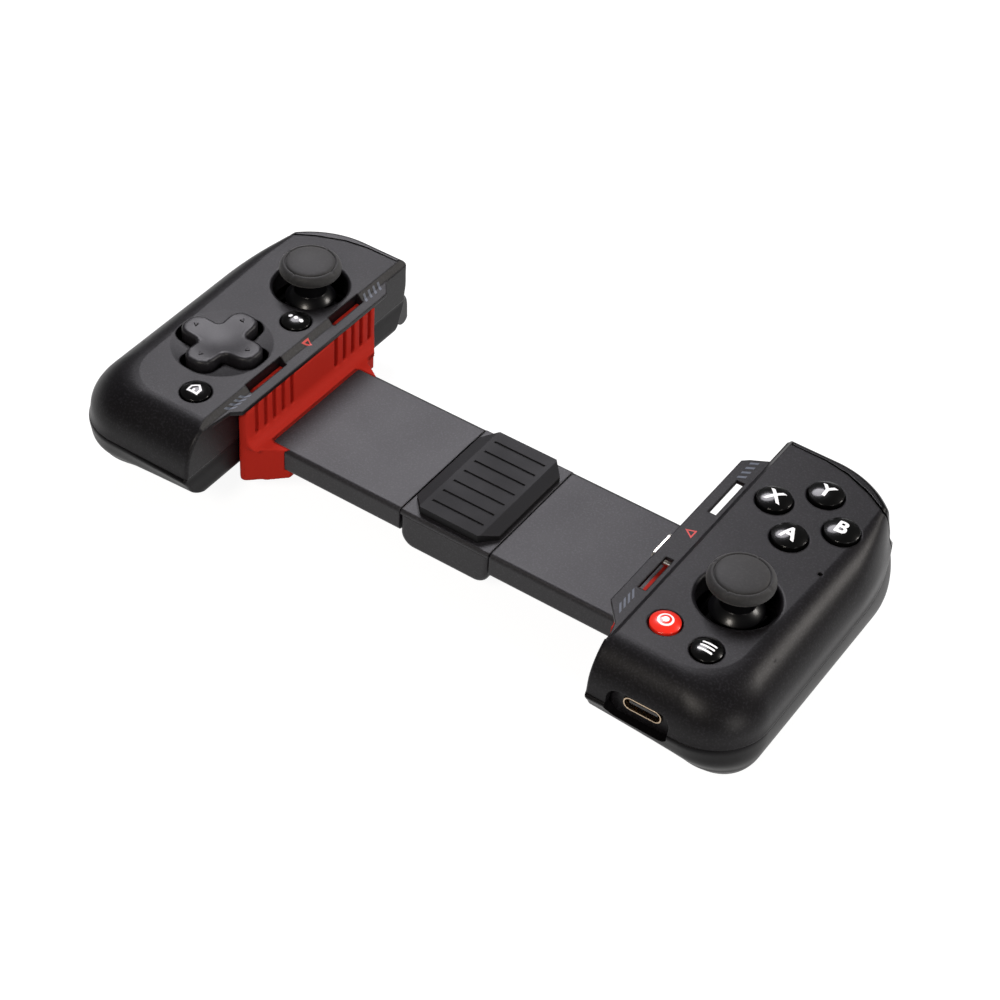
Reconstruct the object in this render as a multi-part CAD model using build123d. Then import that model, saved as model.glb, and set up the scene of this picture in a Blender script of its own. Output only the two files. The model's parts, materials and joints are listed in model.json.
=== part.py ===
"""Telescopic phone gamepad: two grips on a sliding bridge, as separate moving pieces.

Millimetres, Z up. X runs from the left grip to the right grip, Y from the charging port end to
the shoulder keys, and z = 0 is the surface that the palm swells rest on.
"""
from build123d import *
import os
from math import cos, degrees, pi, radians, sin, sqrt, tan

# Levels, from the floor up
HOUSING_BOTTOM_Z = 6.6
ARM_BOTTOM_Z = 10.1
ARM_TOP_Z = 16.5
SEAM_Z = 18.1
LIP_TOP_Z = 28.2
FACE_Z = 29.6

# Grip outline, given for the right grip
INNER_X = 51.75
OUTER_X = 87.0
NEAR_Y = -42.6
FAR_Y = 39.2
CREASE_X = 82.4
CREASE_Y = 32.3
SHOULDER_Y = 21.6
SHOULDER_BLEND_X = 63.5
CORNER_R = 13.5
SHOULDER_R = 60.0
SMALL_R = 0.7
WALL = 1.8

# How far the upper shell draws in from the seam to the face
NEAR_CROWN = 9.4
CORNER_CROWN = 11.0
SHOULDER_CROWN = 8.5
CREASE_LEAN = 2.4
FAR_ROUND = 1.5
CROWN_TRIM = 0.02

# Palm swell of the lower shell
PALM_INNER_X = 73.0
PALM_OUTER_X = 79.0
PALM_NEAR_Y = -24.6
PALM_FAR_Y = 9.0
PALM_CORNER_R = 3.4

# Lip over the phone
LIP_T = 1.0
LIP_NEAR_Y = -26.0
LIP_FAR_Y = 27.3
RIGHT_LIP_X = 46.6
LEFT_LIP_X = -49.05
LIP_STEP_X = 53.2

# Bridge
BRIDGE_NEAR_Y = -20.2
BRIDGE_WIDTH = 33.7
HOUSING_MID_X = 1.35
HOUSING_LENGTH = 23.2
HOUSING_WALL = 1.6
HOUSING_CORNER_R = 3.6
HOUSING_GAP = 0.3
COVER_T = 1.2
SLIDE_TRAVEL = 40.0
ARM_EDGE_R = 1.1
ARM_ROOF = 1.5
ARM_FLOOR = 1.2
ARM_SIDE = 1.85
ARM_END_X = 64.0
EAR_REACH = 5.2
EAR_LENGTH = 8.0
EAR_X = 59.0
RAIL_W = 3.5
RAIL_END_X = 66.0
RUN_GAP = 0.2

# Gear and racks
GEAR_MODULE = 0.8
GEAR_TEETH = 12
RACK_BACK = 2.2
RACK_FOOT = 8.0
RACK_OVERRUN = 2.65
BACKLASH = 0.28
PIVOT_GAP = 0.05
PINION_POST_R = 1.45

# Pad
PAD_HALF_X = 10.9
PAD_HALF_Y = 15.5
PAD_CUT_X = 3.3
PAD_CUT_Y = 3.6
PAD_H = 2.0
PAD_EDGE_H = 1.1
PAD_SLOPE_W = 3.0
PAD_SHIFT_Y = 0.25
PAD_GROOVES = 7
PAD_GROOVE_W = 0.6
PAD_GROOVE_DEPTH = 0.3

# Boards and screws
BOARD_Z = 17.0
BOARD_T = 1.2
BOARD_MARGIN = 3.4
BOARD_FAR_Y = 28.4
SCREW_R = 1.0
SCREW_HEAD_R = 1.9
SCREW_HEAD_H = 1.2
POST_R = 2.6
SHELL_POSTS = [(79.8, -20.5), (57.0, 27.6), (77.0, 26.8)]
HEAD_SEAT_Z = 10.5

# Face controls: hole centres
BUTTON_MID = (67.5, 18.95)
BUTTON_PITCH = 8.15
ACTION_HOLE_R = 4.15
SMALL_HOLE_R = 3.55
BUTTON_GAP = 0.25
BUTTON_RISE = 1.7
SMALL_RISE = 1.1
BUTTON_TRAVEL = 1.0
FLANGE = 0.5
COLLAR_H = 1.0
COLLAR_T = 0.8
FLANGE_T = 1.0
MAT_T = 0.7
DOME_H = 1.6
DOME_R = 2.6
VIEW_AT = (-58.3, 4.8)
HOME_AT = (-60.4, -28.3)
MENU_AT = (70.3, -27.8)
RECORD_AT = (59.6, -26.2)
PINHOLE_AT = (78.0, 5.2)

# Thumb sticks
LEFT_STICK = (-63.95, 17.6)
RIGHT_STICK = (67.9, -11.05)
WELL_R = 8.75
WELL_DEPTH = 3.4
STICK_PIVOT_Z = 22.2
CAP_R = 7.3
CAP_TOP_Z = 37.0
CAP_H = 3.1
DISH_R = 5.85
DISH_DEPTH = 0.9
DOME_OUTER_R = 7.4
DOME_WALL = 0.8
DOME_SPAN = 54.0
STICK_TILT = 16.0
MODULE_HALF = 7.5
MODULE_WALL = 1.0

# Direction pad
DPAD_AT = (-66.5, -11.7)
DPAD_REACH = 10.5
DPAD_ARM_W = 7.5
DPAD_TOP_Z = 31.5
DPAD_UNDER_Z = 26.2
DPAD_DISH_R = 11.7
DPAD_DISH_DEPTH = 1.0
DPAD_GAP = 0.82
DPAD_TILT = 5.5
DPAD_PIVOT_Z = 23.5

# Shoulder keys
BUMPER_LINE = [(53.6, 37.4), (62.1, 37.4), (68.0, 36.4), (74.4, 33.8), (79.6, 30.6), (85.0, 32.6)]
BUMPER_GAP = 0.2
BUMPER_PRESS = 0.5
BUMPER_PIN = (56.5, 34.4)
BUMPER_PIN_R = 1.2
TRIGGER_INNER_X = 53.6
TRIGGER_OUTER_X = 73.0
TRIGGER_PIN_Y = 33.2
TRIGGER_PIN_Z = 18.8
TRIGGER_PIN_R = 0.9
TRIGGER_SWING = 14.0
HUB_R = 1.7
LUG_T = 1.6
LUGS_X = (60.0, 73.4)

# Sockets
PLUG_Y = 0.8
PLUG_Z = 20.4
PLUG_W = 8.34
PLUG_T = 2.4
PLUG_TIP_X = 43.1
PORT_X = 63.9
PORT_Y = -40.2
PORT_Z = 18.5
PORT_W = 8.94
PORT_T = 3.26
RECESS_W = 14.7
RECESS_H = 7.7

# Values that follow from the ones above
BRIDGE_MID_Y = BRIDGE_NEAR_Y + BRIDGE_WIDTH / 2
CHANNEL_Z = ARM_BOTTOM_Z + ARM_FLOOR
CHANNEL_TOP_Z = ARM_TOP_Z - ARM_ROOF
CHANNEL_HALF = BRIDGE_WIDTH / 2 - ARM_SIDE
BAR_Z = CHANNEL_Z + RUN_GAP
BAR_H = CHANNEL_TOP_Z - CHANNEL_Z - 2 * RUN_GAP
PITCH_R = GEAR_MODULE * GEAR_TEETH / 2
BOARD_TOP_Z = BOARD_Z + BOARD_T
FACE_UNDER_Z = FACE_Z - WALL


def box_between(x, y, z):
    """A box from its three (low, high) pairs."""
    size = [abs(pair[1] - pair[0]) for pair in (x, y, z)]
    mid = [(pair[0] + pair[1]) / 2 for pair in (x, y, z)]
    return Pos(*mid) * Box(*size)


def rod(x, y, z0, z1, r):
    """An upright cylinder."""
    return Pos(x, y, (z0 + z1) / 2) * Cylinder(r, abs(z1 - z0))


def rod_x(x0, x1, y, z, r):
    """A cylinder that lies along X."""
    return Pos((x0 + x1) / 2, y, z) * Rot(0, 90, 0) * Cylinder(r, abs(x1 - x0))


def rod_y(x, y0, y1, z, r):
    """A cylinder that lies along Y."""
    return Pos(x, (y0 + y1) / 2, z) * Rot(90, 0, 0) * Cylinder(r, abs(y1 - y0))


def prism(points, z0, z1):
    """An upright prism on a plan outline."""
    face = make_face(Polyline(*[(x, y, z0) for x, y in points], close=True))
    return extrude(face, z1 - z0, dir=(0, 0, 1))


def profile_x(points, x0, x1):
    """A bar along X on a (y, z) outline."""
    face = make_face(Polyline(*[(x0, y, z) for y, z in points], close=True))
    return extrude(face, x1 - x0, dir=(1, 0, 0))


def profile_y(points, y0, y1):
    """A bar along Y on an (x, z) outline."""
    face = make_face(Polyline(*[(x, y0, z) for x, z in points], close=True))
    return extrude(face, y1 - y0, dir=(0, 1, 0))


def rounded_face(corners, z):
    """A level face from (x, y, radius) corners, each rounded as far as its edges allow."""
    count = len(corners)
    points = [Vector(x, y, z) for x, y, _ in corners]
    backs = [points[i - 1] - points[i] for i in range(count)]
    aheads = [points[(i + 1) % count] - points[i] for i in range(count)]
    halves = [radians(backs[i].get_angle(aheads[i])) / 2 for i in range(count)]
    reaches = [corners[i][2] / tan(halves[i]) for i in range(count)]
    for i in range(count):
        j = (i + 1) % count
        room = 0.96 * aheads[i].length
        if reaches[i] + reaches[j] > room:
            longer, shorter = (i, j) if reaches[i] > reaches[j] else (j, i)
            reaches[shorter] = min(reaches[shorter], 0.3 * room)
            reaches[longer] = room - reaches[shorter]
    arcs = []
    for i in range(count):
        radius = reaches[i] * tan(halves[i])
        u = backs[i].normalized()
        v = aheads[i].normalized()
        middle = (u + v).normalized() * (radius / sin(halves[i]) - radius)
        arcs.append((points[i] + u * reaches[i], points[i] + middle, points[i] + v * reaches[i]))
    edges = []
    for i in range(count):
        edges.append(ThreePointArc(*arcs[i]))
        edges.append(Line(arcs[i][2], arcs[(i + 1) % count][0]))
    return make_face(Wire([edge.edge() for edge in edges]))


def inset(corners, distance):
    """The same outline with every side moved inwards."""
    count = len(corners)
    moved = []
    for i in range(count):
        (x0, y0, _), (x1, y1, r), (x2, y2, _) = corners[i - 1], corners[i], corners[(i + 1) % count]
        a = Vector(x1 - x0, y1 - y0, 0).normalized()
        b = Vector(x2 - x1, y2 - y1, 0).normalized()
        na = Vector(-a.Y, a.X, 0)
        nb = Vector(-b.Y, b.X, 0)
        bisector = (na + nb).normalized()
        step = distance / bisector.dot(na)
        moved.append((x1 + bisector.X * step, y1 + bisector.Y * step, max(r - distance, SMALL_R)))
    return moved


def along(table, at):
    """A value read off a short profile of (position, value) stations."""
    for (a, va), (b, vb) in zip(table, table[1:]):
        if at <= b:
            return va + (vb - va) * max(0.0, (at - a) / (b - a))
    return table[-1][1]


def round_in(t):
    """How far a quarter round has drawn in at height share t."""
    return 1 - sqrt(max(0.0, 1 - min(t, 1.0) ** 2))


def shoulder_corner(start_x, crease_x, crease_y, far_y):
    """The corner whose round runs from start_x on the far side to the crease."""
    drop = far_y - crease_y
    x = (crease_x ** 2 + drop ** 2 - start_x ** 2) / (2 * (crease_x - start_x))
    return (x, far_y, CORNER_R * 9)


def upper_outline(t):
    """Corners of the upper shell at height share t, from the seam to the face."""
    top_round = max(0.0, (t - 0.86) / 0.14)
    near_y = NEAR_Y + NEAR_CROWN * round_in(t)
    corner_x = OUTER_X - CORNER_CROWN * round_in(t)
    shoulder_x = OUTER_X - SHOULDER_CROWN * round_in(t)
    crease_x = CREASE_X - CREASE_LEAN * t - FAR_ROUND * round_in(top_round)
    crease_y = CREASE_Y - 0.6 * FAR_ROUND * round_in(top_round)
    far_y = FAR_Y - FAR_ROUND * round_in(top_round)
    return [
        (INNER_X, near_y, SMALL_R),
        (corner_x, near_y, CORNER_R - 0.35 * CORNER_CROWN * round_in(t)),
        (shoulder_x, SHOULDER_Y, SHOULDER_R),
        (crease_x, crease_y, SMALL_R),
        shoulder_corner(SHOULDER_BLEND_X, crease_x, crease_y, far_y),
        (INNER_X, far_y, SMALL_R),
    ]


def lower_outline(z):
    """Corners of the lower shell at height z."""
    down = SEAM_Z - z
    share = down / SEAM_Z
    inner_x = INNER_X + along([(7.6, 0), (8.8, 2.2), (10.5, 8.2), (12.5, 13.2), (14.5, 16.8),
                               (16.5, 19.8), (SEAM_Z, PALM_INNER_X - INNER_X)], down)
    belly = sqrt(max(0.0, 1 - (max(0.0, down - 1.5) / 18) ** 2))
    outer_x = OUTER_X - 13 * (1 - belly)
    inner_near = along([(0, 0), (2, 0.3), (4, 1.25), (6, 3.05), (8, 6.5), (10.5, 8.5), (12.5, 10),
                        (14.5, 12), (16.5, 15), (SEAM_Z, PALM_NEAR_Y - NEAR_Y)], down)
    outer_near = 16 * round_in(down / 18.6)
    far_y = FAR_Y - along([(0, 0), (7.6, 3.4), (10.5, 8.2), (12.5, 13.2), (14.5, 18.2), (16.5, 24.2),
                           (SEAM_Z, FAR_Y - PALM_FAR_Y)], down)
    squeeze = max(0.16, 1 - 0.059 * down)
    crease_x = outer_x - (OUTER_X - CREASE_X) * squeeze
    crease_y = far_y - (FAR_Y - CREASE_Y) * squeeze
    shoulder_y = far_y - (FAR_Y - SHOULDER_Y) * max(0.35, squeeze)
    start_x = inner_x + 0.38 * (crease_x - inner_x)
    return [
        (inner_x, NEAR_Y + inner_near, SMALL_R),
        (outer_x, NEAR_Y + outer_near, CORNER_R - (CORNER_R - PALM_CORNER_R) * share ** 1.5),
        (outer_x, shoulder_y, SHOULDER_R),
        (crease_x, crease_y, SMALL_R),
        shoulder_corner(start_x, crease_x, crease_y, far_y),
        (inner_x, far_y, SMALL_R),
    ]


def upper_form(wall=0.0):
    """The upper half of the right grip as one solid, or its hollow when a wall is given."""
    height = FACE_Z - wall - SEAM_Z
    faces = []
    for angle in (0, 20, 40, 55, 70, 81, 90):
        t = sin(radians(angle))
        corners = upper_outline(t)
        if wall:
            corners = inset(corners, wall)
        faces.append(rounded_face(corners, SEAM_Z + (height + CROWN_TRIM) * t))
    room = box_between((0, 2 * OUTER_X), (2 * NEAR_Y, 2 * FAR_Y), (SEAM_Z - 1, SEAM_Z + height))
    return loft(faces) & room


def lower_form(wall=0.0):
    """The palm half of the right grip as one solid, or its hollow when a wall is given."""
    levels = [SEAM_Z, 16.0, 13.5, 11.5, 10.2, 9.0, 7.4, 5.4, 3.4, 1.6, 0.0]
    faces = []
    for z in levels:
        corners = lower_outline(z)
        if wall:
            if z + wall > SEAM_Z:
                continue
            corners = inset(corners, wall * 0.8)
        faces.append(rounded_face(corners, z + wall))
    if wall:
        rim = inset(lower_outline(SEAM_Z - wall), wall * 0.8)
        faces.insert(0, rounded_face(rim, SEAM_Z))
    return loft(faces)


def save(name, shape):
    """Write one node."""
    export_step(shape, f"parts/{name}.step")


def to_side(shape, side):
    """A piece modelled for the right grip, on the side that is asked for."""
    if side > 0:
        return shape
    return mirror(shape, about=Plane.YZ)


def bumper_region(gap=0.0):
    """The part of the far edge that the bumper takes, grown by a gap that widens outwards."""
    first_x = BUMPER_LINE[0][0]
    last_x = BUMPER_LINE[-1][0]
    points = [(first_x - gap, FAR_Y + 9)]
    for x, y in BUMPER_LINE:
        share = (x - first_x) / (last_x - first_x)
        swing = BUMPER_PRESS * share if gap else 0
        points.append((x + gap * (2 * share - 1), y - gap - swing))
    points.append((last_x + gap, FAR_Y + 9))
    return prism(points, SEAM_Z + 0.3 - gap, FACE_Z + 1)


def build_bumper(solid, hollow):
    """The shoulder key: a slice of the shell on an ear that turns on an upright pin."""
    key = solid & bumper_region()
    key = key - hollow
    px, py = BUMPER_PIN
    z0 = SEAM_Z + 3.1
    z1 = FACE_UNDER_Z - 1.8
    ear = rod(px, py, z0, z1, BUMPER_PIN_R + 1.2)
    link = box_between((px - 1.6, px + 2.4), (py, FAR_Y - 0.5 * WALL), (z0, z1))
    ear = ear + link - rod(px, py, z0 - 1, z1 + 1, BUMPER_PIN_R + PIVOT_GAP)
    return key + ear


def build_upper_shell(solid, hollow):
    """Upper shell of the right grip, before its own holes are cut."""
    shell = solid - hollow
    shell = shell - bumper_region(BUMPER_GAP)
    px, py = BUMPER_PIN
    shell = shell + rod(px, py, SEAM_Z + 1.5, FACE_UNDER_Z + 0.2, BUMPER_PIN_R)
    for x in LUGS_X:
        eye = box_between((x, x + LUG_T), (TRIGGER_PIN_Y - 4.4, TRIGGER_PIN_Y + 1.2),
                          (TRIGGER_PIN_Z - 1.7, TRIGGER_PIN_Z + 1.9))
        web = box_between((x, x + LUG_T), (TRIGGER_PIN_Y - 4.4, TRIGGER_PIN_Y + 0.3),
                          (TRIGGER_PIN_Z, FACE_UNDER_Z - 1.5))
        lug = eye + web
        root = box_between((x, x + LUG_T), (TRIGGER_PIN_Y - 4.4, TRIGGER_PIN_Y - 3.4),
                           (FACE_UNDER_Z - 2, FACE_UNDER_Z + 0.2))
        shell = shell + lug + root
    shell = shell - rod_x(LUGS_X[0] - 1, LUGS_X[1] + 3, TRIGGER_PIN_Y, TRIGGER_PIN_Z, TRIGGER_PIN_R)
    for x, y in SHELL_POSTS:
        shell = shell + rod(x, y, SEAM_Z + 0.1, FACE_UNDER_Z + 0.2, POST_R - 0.3)
        shell = shell - rod(x, y, SEAM_Z, SEAM_Z + 7, SCREW_R - 0.15)
    return shell


def build_lower_shell():
    """Palm half of the right grip with its posts and the windows for arm and trigger."""
    solid = lower_form()
    shell = solid - lower_form(WALL)
    posts = [rod(x, y, 1, SEAM_Z, POST_R) for x, y in SHELL_POSTS]
    for y in (BRIDGE_MID_Y - ear_offset(), BRIDGE_MID_Y + ear_offset()):
        posts.append(rod(EAR_X, y, 4, CHANNEL_TOP_Z - 0.5, POST_R))
    for post in posts:
        shell = shell + (post & solid)
    for x, y in SHELL_POSTS:
        shell = shell - rod(x, y, -1, SEAM_Z + 1, SCREW_R + 0.2)
        shell = shell - rod(x, y, -1, HEAD_SEAT_Z, SCREW_HEAD_R + 0.3)
    for y in (BRIDGE_MID_Y - ear_offset(), BRIDGE_MID_Y + ear_offset()):
        shell = shell - rod(EAR_X, y, 9.5, SEAM_Z, SCREW_R - 0.15)
    gate = box_between((INNER_X - 1, INNER_X + WALL + 0.6),
                       (BRIDGE_NEAR_Y - 0.15, BRIDGE_NEAR_Y + BRIDGE_WIDTH + 0.15),
                       (ARM_BOTTOM_Z - 0.15, ARM_TOP_Z + 0.15))
    inner_gate = box_between((INNER_X, EAR_X + 2),
                             (BRIDGE_NEAR_Y - 0.15, BRIDGE_NEAR_Y + BRIDGE_WIDTH + 0.15),
                             (CHANNEL_Z - 0.15, ARM_TOP_Z + 0.15))
    window = box_between((TRIGGER_INNER_X - BUMPER_GAP, TRIGGER_OUTER_X + 0.3), (29.0, FAR_Y + 6),
                         (9.4, SEAM_Z + 1))
    return shell - gate - inner_gate - window


def ear_offset():
    """Distance of an arm's screw ear from the bridge's centre line."""
    return BRIDGE_WIDTH / 2 + EAR_REACH / 2


def build_trigger():
    """The lever under the bumper, with its hubs and the curved skirt that closes its window."""
    x0, x1 = TRIGGER_INNER_X, TRIGGER_OUTER_X
    y, z = TRIGGER_PIN_Y, TRIGGER_PIN_Z
    front = Spline((x0, 40.3, SEAM_Z - 0.4), (x0, 42.0, 15.2), (x0, 42.4, 11.8), (x0, 42.5, 9.9))
    tip = ThreePointArc((x0, 42.5, 9.9), (x0, 41.4, 8.65), (x0, 39.9, 8.7))
    back = Spline((x0, 39.9, 8.7), (x0, 38.2, 10.2), (x0, 37.4, 13.0), (x0, 37.2, SEAM_Z - 0.4))
    top = Line((x0, 37.2, SEAM_Z - 0.4), (x0, 40.3, SEAM_Z - 0.4))
    body = extrude(make_face(Wire([front.edge(), tip.edge(), back.edge(), top.edge()])), x1 - x0,
                   dir=(1, 0, 0))
    plan = make_face(Wire([
        Line((x0, 30, 0), (x0, 43, 0)).edge(),
        Line((x0, 43, 0), (x1 - 12, 43, 0)).edge(),
        ThreePointArc((x1 - 12, 43, 0), (x1 - 4.2, 41.9, 0), (x1, 38.6, 0)).edge(),
        Line((x1, 38.6, 0), (x1, 30, 0)).edge(),
        Line((x1, 30, 0), (x0, 30, 0)).edge(),
    ]))
    body = body & extrude(plan, SEAM_Z + 2, dir=(0, 0, 1))
    skirt = rod_x(x0, x1, y, z, 9.0) - rod_x(x0 - 1, x1 + 1, y, z, 8.0)
    skirt = skirt & box_between((x0, x1), (y - 1.5, 38.6), (8, 14.5))
    plate = box_between((x0, x1), (y - 0.4, 38), (SEAM_Z - 2.6, SEAM_Z - 0.4))
    hubs = rod_x(LUGS_X[0] + 2.2, LUGS_X[0] + 5, y, z, HUB_R) + rod_x(x1 - 2.8, x1, y, z, HUB_R)
    lever = body + skirt + plate + hubs
    for x in LUGS_X:
        lever = lever - box_between((x - 0.3, x + LUG_T + 0.3), (y - 3, y + 2.2),
                                    (SEAM_Z - 3.2, SEAM_Z + 3))
    return lever - rod_x(x0 - 1, x1 + 1, y, z, TRIGGER_PIN_R + PIVOT_GAP)


def button_centres():
    """The four action buttons by name."""
    x, y = BUTTON_MID
    return {
        "button_x": (x - BUTTON_PITCH, y),
        "button_y": (x, y + BUTTON_PITCH),
        "button_a": (x, y - BUTTON_PITCH),
        "button_b": (x + BUTTON_PITCH, y),
    }


def build_button(at, hole_r, rise):
    """A domed round cap with a flange that keeps it in its hole."""
    x, y = at
    r = hole_r - BUTTON_GAP
    under = FACE_UNDER_Z - COLLAR_H - 0.1
    dome_h = 0.9
    sphere_r = (r ** 2 + dome_h ** 2) / (2 * dome_h)
    top = FACE_Z + rise
    cap = rod(x, y, under - 0.2, top, r)
    cap = cap & (Pos(x, y, top - sphere_r) * Sphere(sphere_r))
    flange = rod(x, y, under - FLANGE_T, under, hole_r + FLANGE)
    stem = rod(x, y, BOARD_TOP_Z + MAT_T + DOME_H + BUTTON_TRAVEL + 0.3, under - 0.5, 1.8)
    return cap + flange + stem


def build_mat(centres, bridge_w=4.0):
    """A silicone sheet with one dome under each centre."""
    base = None
    for i, (x, y) in enumerate(centres):
        disc = rod(x, y, BOARD_TOP_Z, BOARD_TOP_Z + MAT_T, DOME_R + 1.6)
        base = disc if base is None else base + disc
        if i:
            x0, y0 = centres[0]
            run = Vector(x - x0, y - y0, 0)
            strip = Box(run.length, bridge_w, MAT_T)
            turn = degrees(Vector(1, 0, 0).get_signed_angle(run, Vector(0, 0, 1)) * pi / 180)
            mid_z = BOARD_TOP_Z + MAT_T / 2
            base = base + Pos((x + x0) / 2, (y + y0) / 2, mid_z) * Rot(0, 0, turn) * strip
    for x, y in centres:
        cone = Pos(x, y, BOARD_TOP_Z + MAT_T + DOME_H / 2) * Cone(DOME_R, DOME_R * 0.7, DOME_H)
        base = base + cone
    return base


def build_stick(at):
    """The box, tilting frame, stem and cap of one thumb stick."""
    x, y = at
    z = STICK_PIVOT_Z
    half = MODULE_HALF
    top = z + 1.5
    module = box_between((x - half, x + half), (y - half, y + half), (BOARD_TOP_Z, top))
    inner = half - MODULE_WALL
    module = module - box_between((x - inner, x + inner), (y - inner, y + inner),
                                  (BOARD_TOP_Z + 0.6, top + 1))
    module = module - rod_x(x - half - 1, x + half + 1, y, z, 1.0 + PIVOT_GAP)
    yoke = box_between((x - 5.2, x + 5.2), (y - 4.4, y + 4.4), (z - 1.5, z + 1.5))
    yoke = yoke - box_between((x - 3.6, x + 3.6), (y - 2.6, y + 2.6), (z - 2, z + 2))
    yoke = yoke - rod_y(x, y - 6, y + 6, z, 0.8 + PIVOT_GAP)
    yoke = yoke + rod_x(x - half + 0.1, x - 4.5, y, z, 1.0) + rod_x(x + 4.5, x + half - 0.1, y, z, 1.0)
    stem = box_between((x - 1.8, x + 1.8), (y - 2.4, y + 2.4), (z - 1.4, z + 1.5))
    stem = stem + rod_y(x, y - 4.3, y + 4.3, z, 0.8)
    stem = stem + rod(x, y, z + 1, CAP_TOP_Z - DISH_DEPTH - 0.6, 1.7)
    dome = Pos(x, y, z) * (Sphere(DOME_OUTER_R) - Sphere(DOME_OUTER_R - DOME_WALL))
    rim_z = z + DOME_OUTER_R * cos(radians(DOME_SPAN))
    dome = dome & box_between((x - 9, x + 9), (y - 9, y + 9), (rim_z, z + 9))
    neck_base = z + sqrt(DOME_OUTER_R ** 2 - 4.0 ** 2) - 0.3
    neck_top = CAP_TOP_Z - CAP_H
    neck = Pos(x, y, (neck_base + neck_top) / 2) * Cone(3.9, 3.3, neck_top - neck_base)
    flare = Pos(x, y, neck_top - 0.6) * Cone(3.3, 4.7, 1.2)
    stem = stem + dome + neck + flare
    cap = build_cap(x, y)
    return module, yoke, stem, cap


def build_cap(x, y):
    """A rubber cap with a rounded rim, a dish and four notches in the rim."""
    low = CAP_TOP_Z - CAP_H
    floor = CAP_TOP_Z - DISH_DEPTH
    rim = (CAP_R - DISH_R) / 2
    section = make_face(Wire([
        Line((0, 0, low), (CAP_R - 1.0, 0, low)).edge(),
        ThreePointArc((CAP_R - 1.0, 0, low), (CAP_R - 0.29, 0, low + 0.29),
                      (CAP_R, 0, low + 1.0)).edge(),
        Line((CAP_R, 0, low + 1.0), (CAP_R, 0, CAP_TOP_Z - rim)).edge(),
        ThreePointArc((CAP_R, 0, CAP_TOP_Z - rim), (CAP_R - rim, 0, CAP_TOP_Z),
                      (DISH_R, 0, CAP_TOP_Z - rim)).edge(),
        Line((DISH_R, 0, CAP_TOP_Z - rim), (DISH_R - 0.6, 0, floor)).edge(),
        Line((DISH_R - 0.6, 0, floor), (0, 0, floor)).edge(),
        Line((0, 0, floor), (0, 0, low)).edge(),
    ]))
    cap = Pos(x, y, 0) * revolve(section, Axis.Z)
    for k in range(4):
        notch = Pos(x, y, CAP_TOP_Z) * Rot(0, 0, 45 + 90 * k) * Pos(DISH_R + rim, 0, 0.35)
        cap = cap - notch * Cylinder(0.75, 2 * rim + 1.2, rotation=(0, 90, 0))
    socket_top = CAP_TOP_Z - DISH_DEPTH - 0.6
    return cap - rod(x, y, low - 1, socket_top, 1.75)


def cross_outline(reach, width, corner):
    """Plan face of the direction pad: two rounded bars crossed, with filled inner corners."""
    bar = RectangleRounded(2 * reach, width, width * 0.34)
    cross = bar + Rot(0, 0, 90) * bar
    inner = width / 2
    web = Rot(0, 0, 45) * Rectangle((inner + corner) * sqrt(2), (inner + corner) * sqrt(2))
    return cross + web


def build_dpad():
    """Post, spider and cap of the direction pad."""
    x, y = DPAD_AT
    z = DPAD_PIVOT_Z
    post = rod(x, y, BOARD_TOP_Z, z - 2.9, 4.6)
    for side in (-1, 1):
        ear = box_between((x + side * 3.0, x + side * 4.4), (y - 1.6, y + 1.6), (z - 3.0, z + 1.5))
        post = post + ear
    post = post - rod_x(x - 5, x + 5, y, z, 0.8 + PIVOT_GAP)
    rocker = box_between((x - 2.7, x + 2.7), (y - 2.4, y + 2.4), (z - 1.3, z + 1.3))
    rocker = rocker + rod_x(x - 4.3, x + 4.3, y, z, 0.8) + rod_y(x, y - 3.8, y + 3.8, z, 0.8)
    plate = extrude(cross_outline(DPAD_REACH, DPAD_ARM_W, 1.3), DPAD_TOP_Z - DPAD_UNDER_Z)
    cap = Pos(x, y, DPAD_UNDER_Z) * plate
    rim_edges = cap.edges().filter_by_position(Axis.Z, DPAD_TOP_Z - 0.01, DPAD_TOP_Z + 0.01)
    cap = fillet(rim_edges, 0.9)
    cap = cap - Pos(x, y, DPAD_TOP_Z + 23.4) * Sphere(24.0)
    for side in (-1, 1):
        cap = cap + box_between((x - 1.6, x + 1.6), (y + side * 2.7, y + side * 3.9),
                                (z - 1.3, DPAD_UNDER_Z + 0.1))
        for px, py in ((8.0 * side, 0), (0, 8.0 * side)):
            cap = cap + rod(x + px, y + py, z - 2.0, DPAD_UNDER_Z + 0.1, 1.3)
    cap = cap - rod_y(x, y - 5, y + 5, z, 0.8 + PIVOT_GAP)
    return post, rocker, cap


def cut_face(shell, centres):
    """Round holes through the face, each (x, y, radius), with a softened edge."""
    for x, y, r in centres:
        shell = shell + rod(x, y, FACE_UNDER_Z - COLLAR_H, FACE_UNDER_Z + 0.1, r + COLLAR_T)
        shell = shell - rod(x, y, FACE_UNDER_Z - COLLAR_H - 0.5, FACE_Z + 1, r)
        shell = shell - Pos(x, y, FACE_Z) * Cone(r - 0.05, r + 0.55, 0.6)
    return shell


def add_well(shell, at):
    """The round well of a thumb stick, with a skirt below the face and a rounded rim."""
    x, y = at
    shell = shell + rod(x, y, FACE_UNDER_Z - WELL_DEPTH, FACE_UNDER_Z + 0.1, WELL_R + 0.9)
    shell = shell - rod(x, y, FACE_UNDER_Z - WELL_DEPTH - 1, FACE_Z + 1, WELL_R)
    rim_r = 0.9
    ring = Pos(x, y, FACE_Z - rim_r) * (Cylinder(WELL_R + rim_r, 2 * rim_r) - Cylinder(WELL_R - 1, 9))
    rim = ring - Pos(x, y, FACE_Z - rim_r) * Torus(WELL_R + rim_r, rim_r)
    keep = rod(x, y, FACE_Z - rim_r, FACE_Z + 1, WELL_R + rim_r)
    return shell - (rim & keep)


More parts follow.
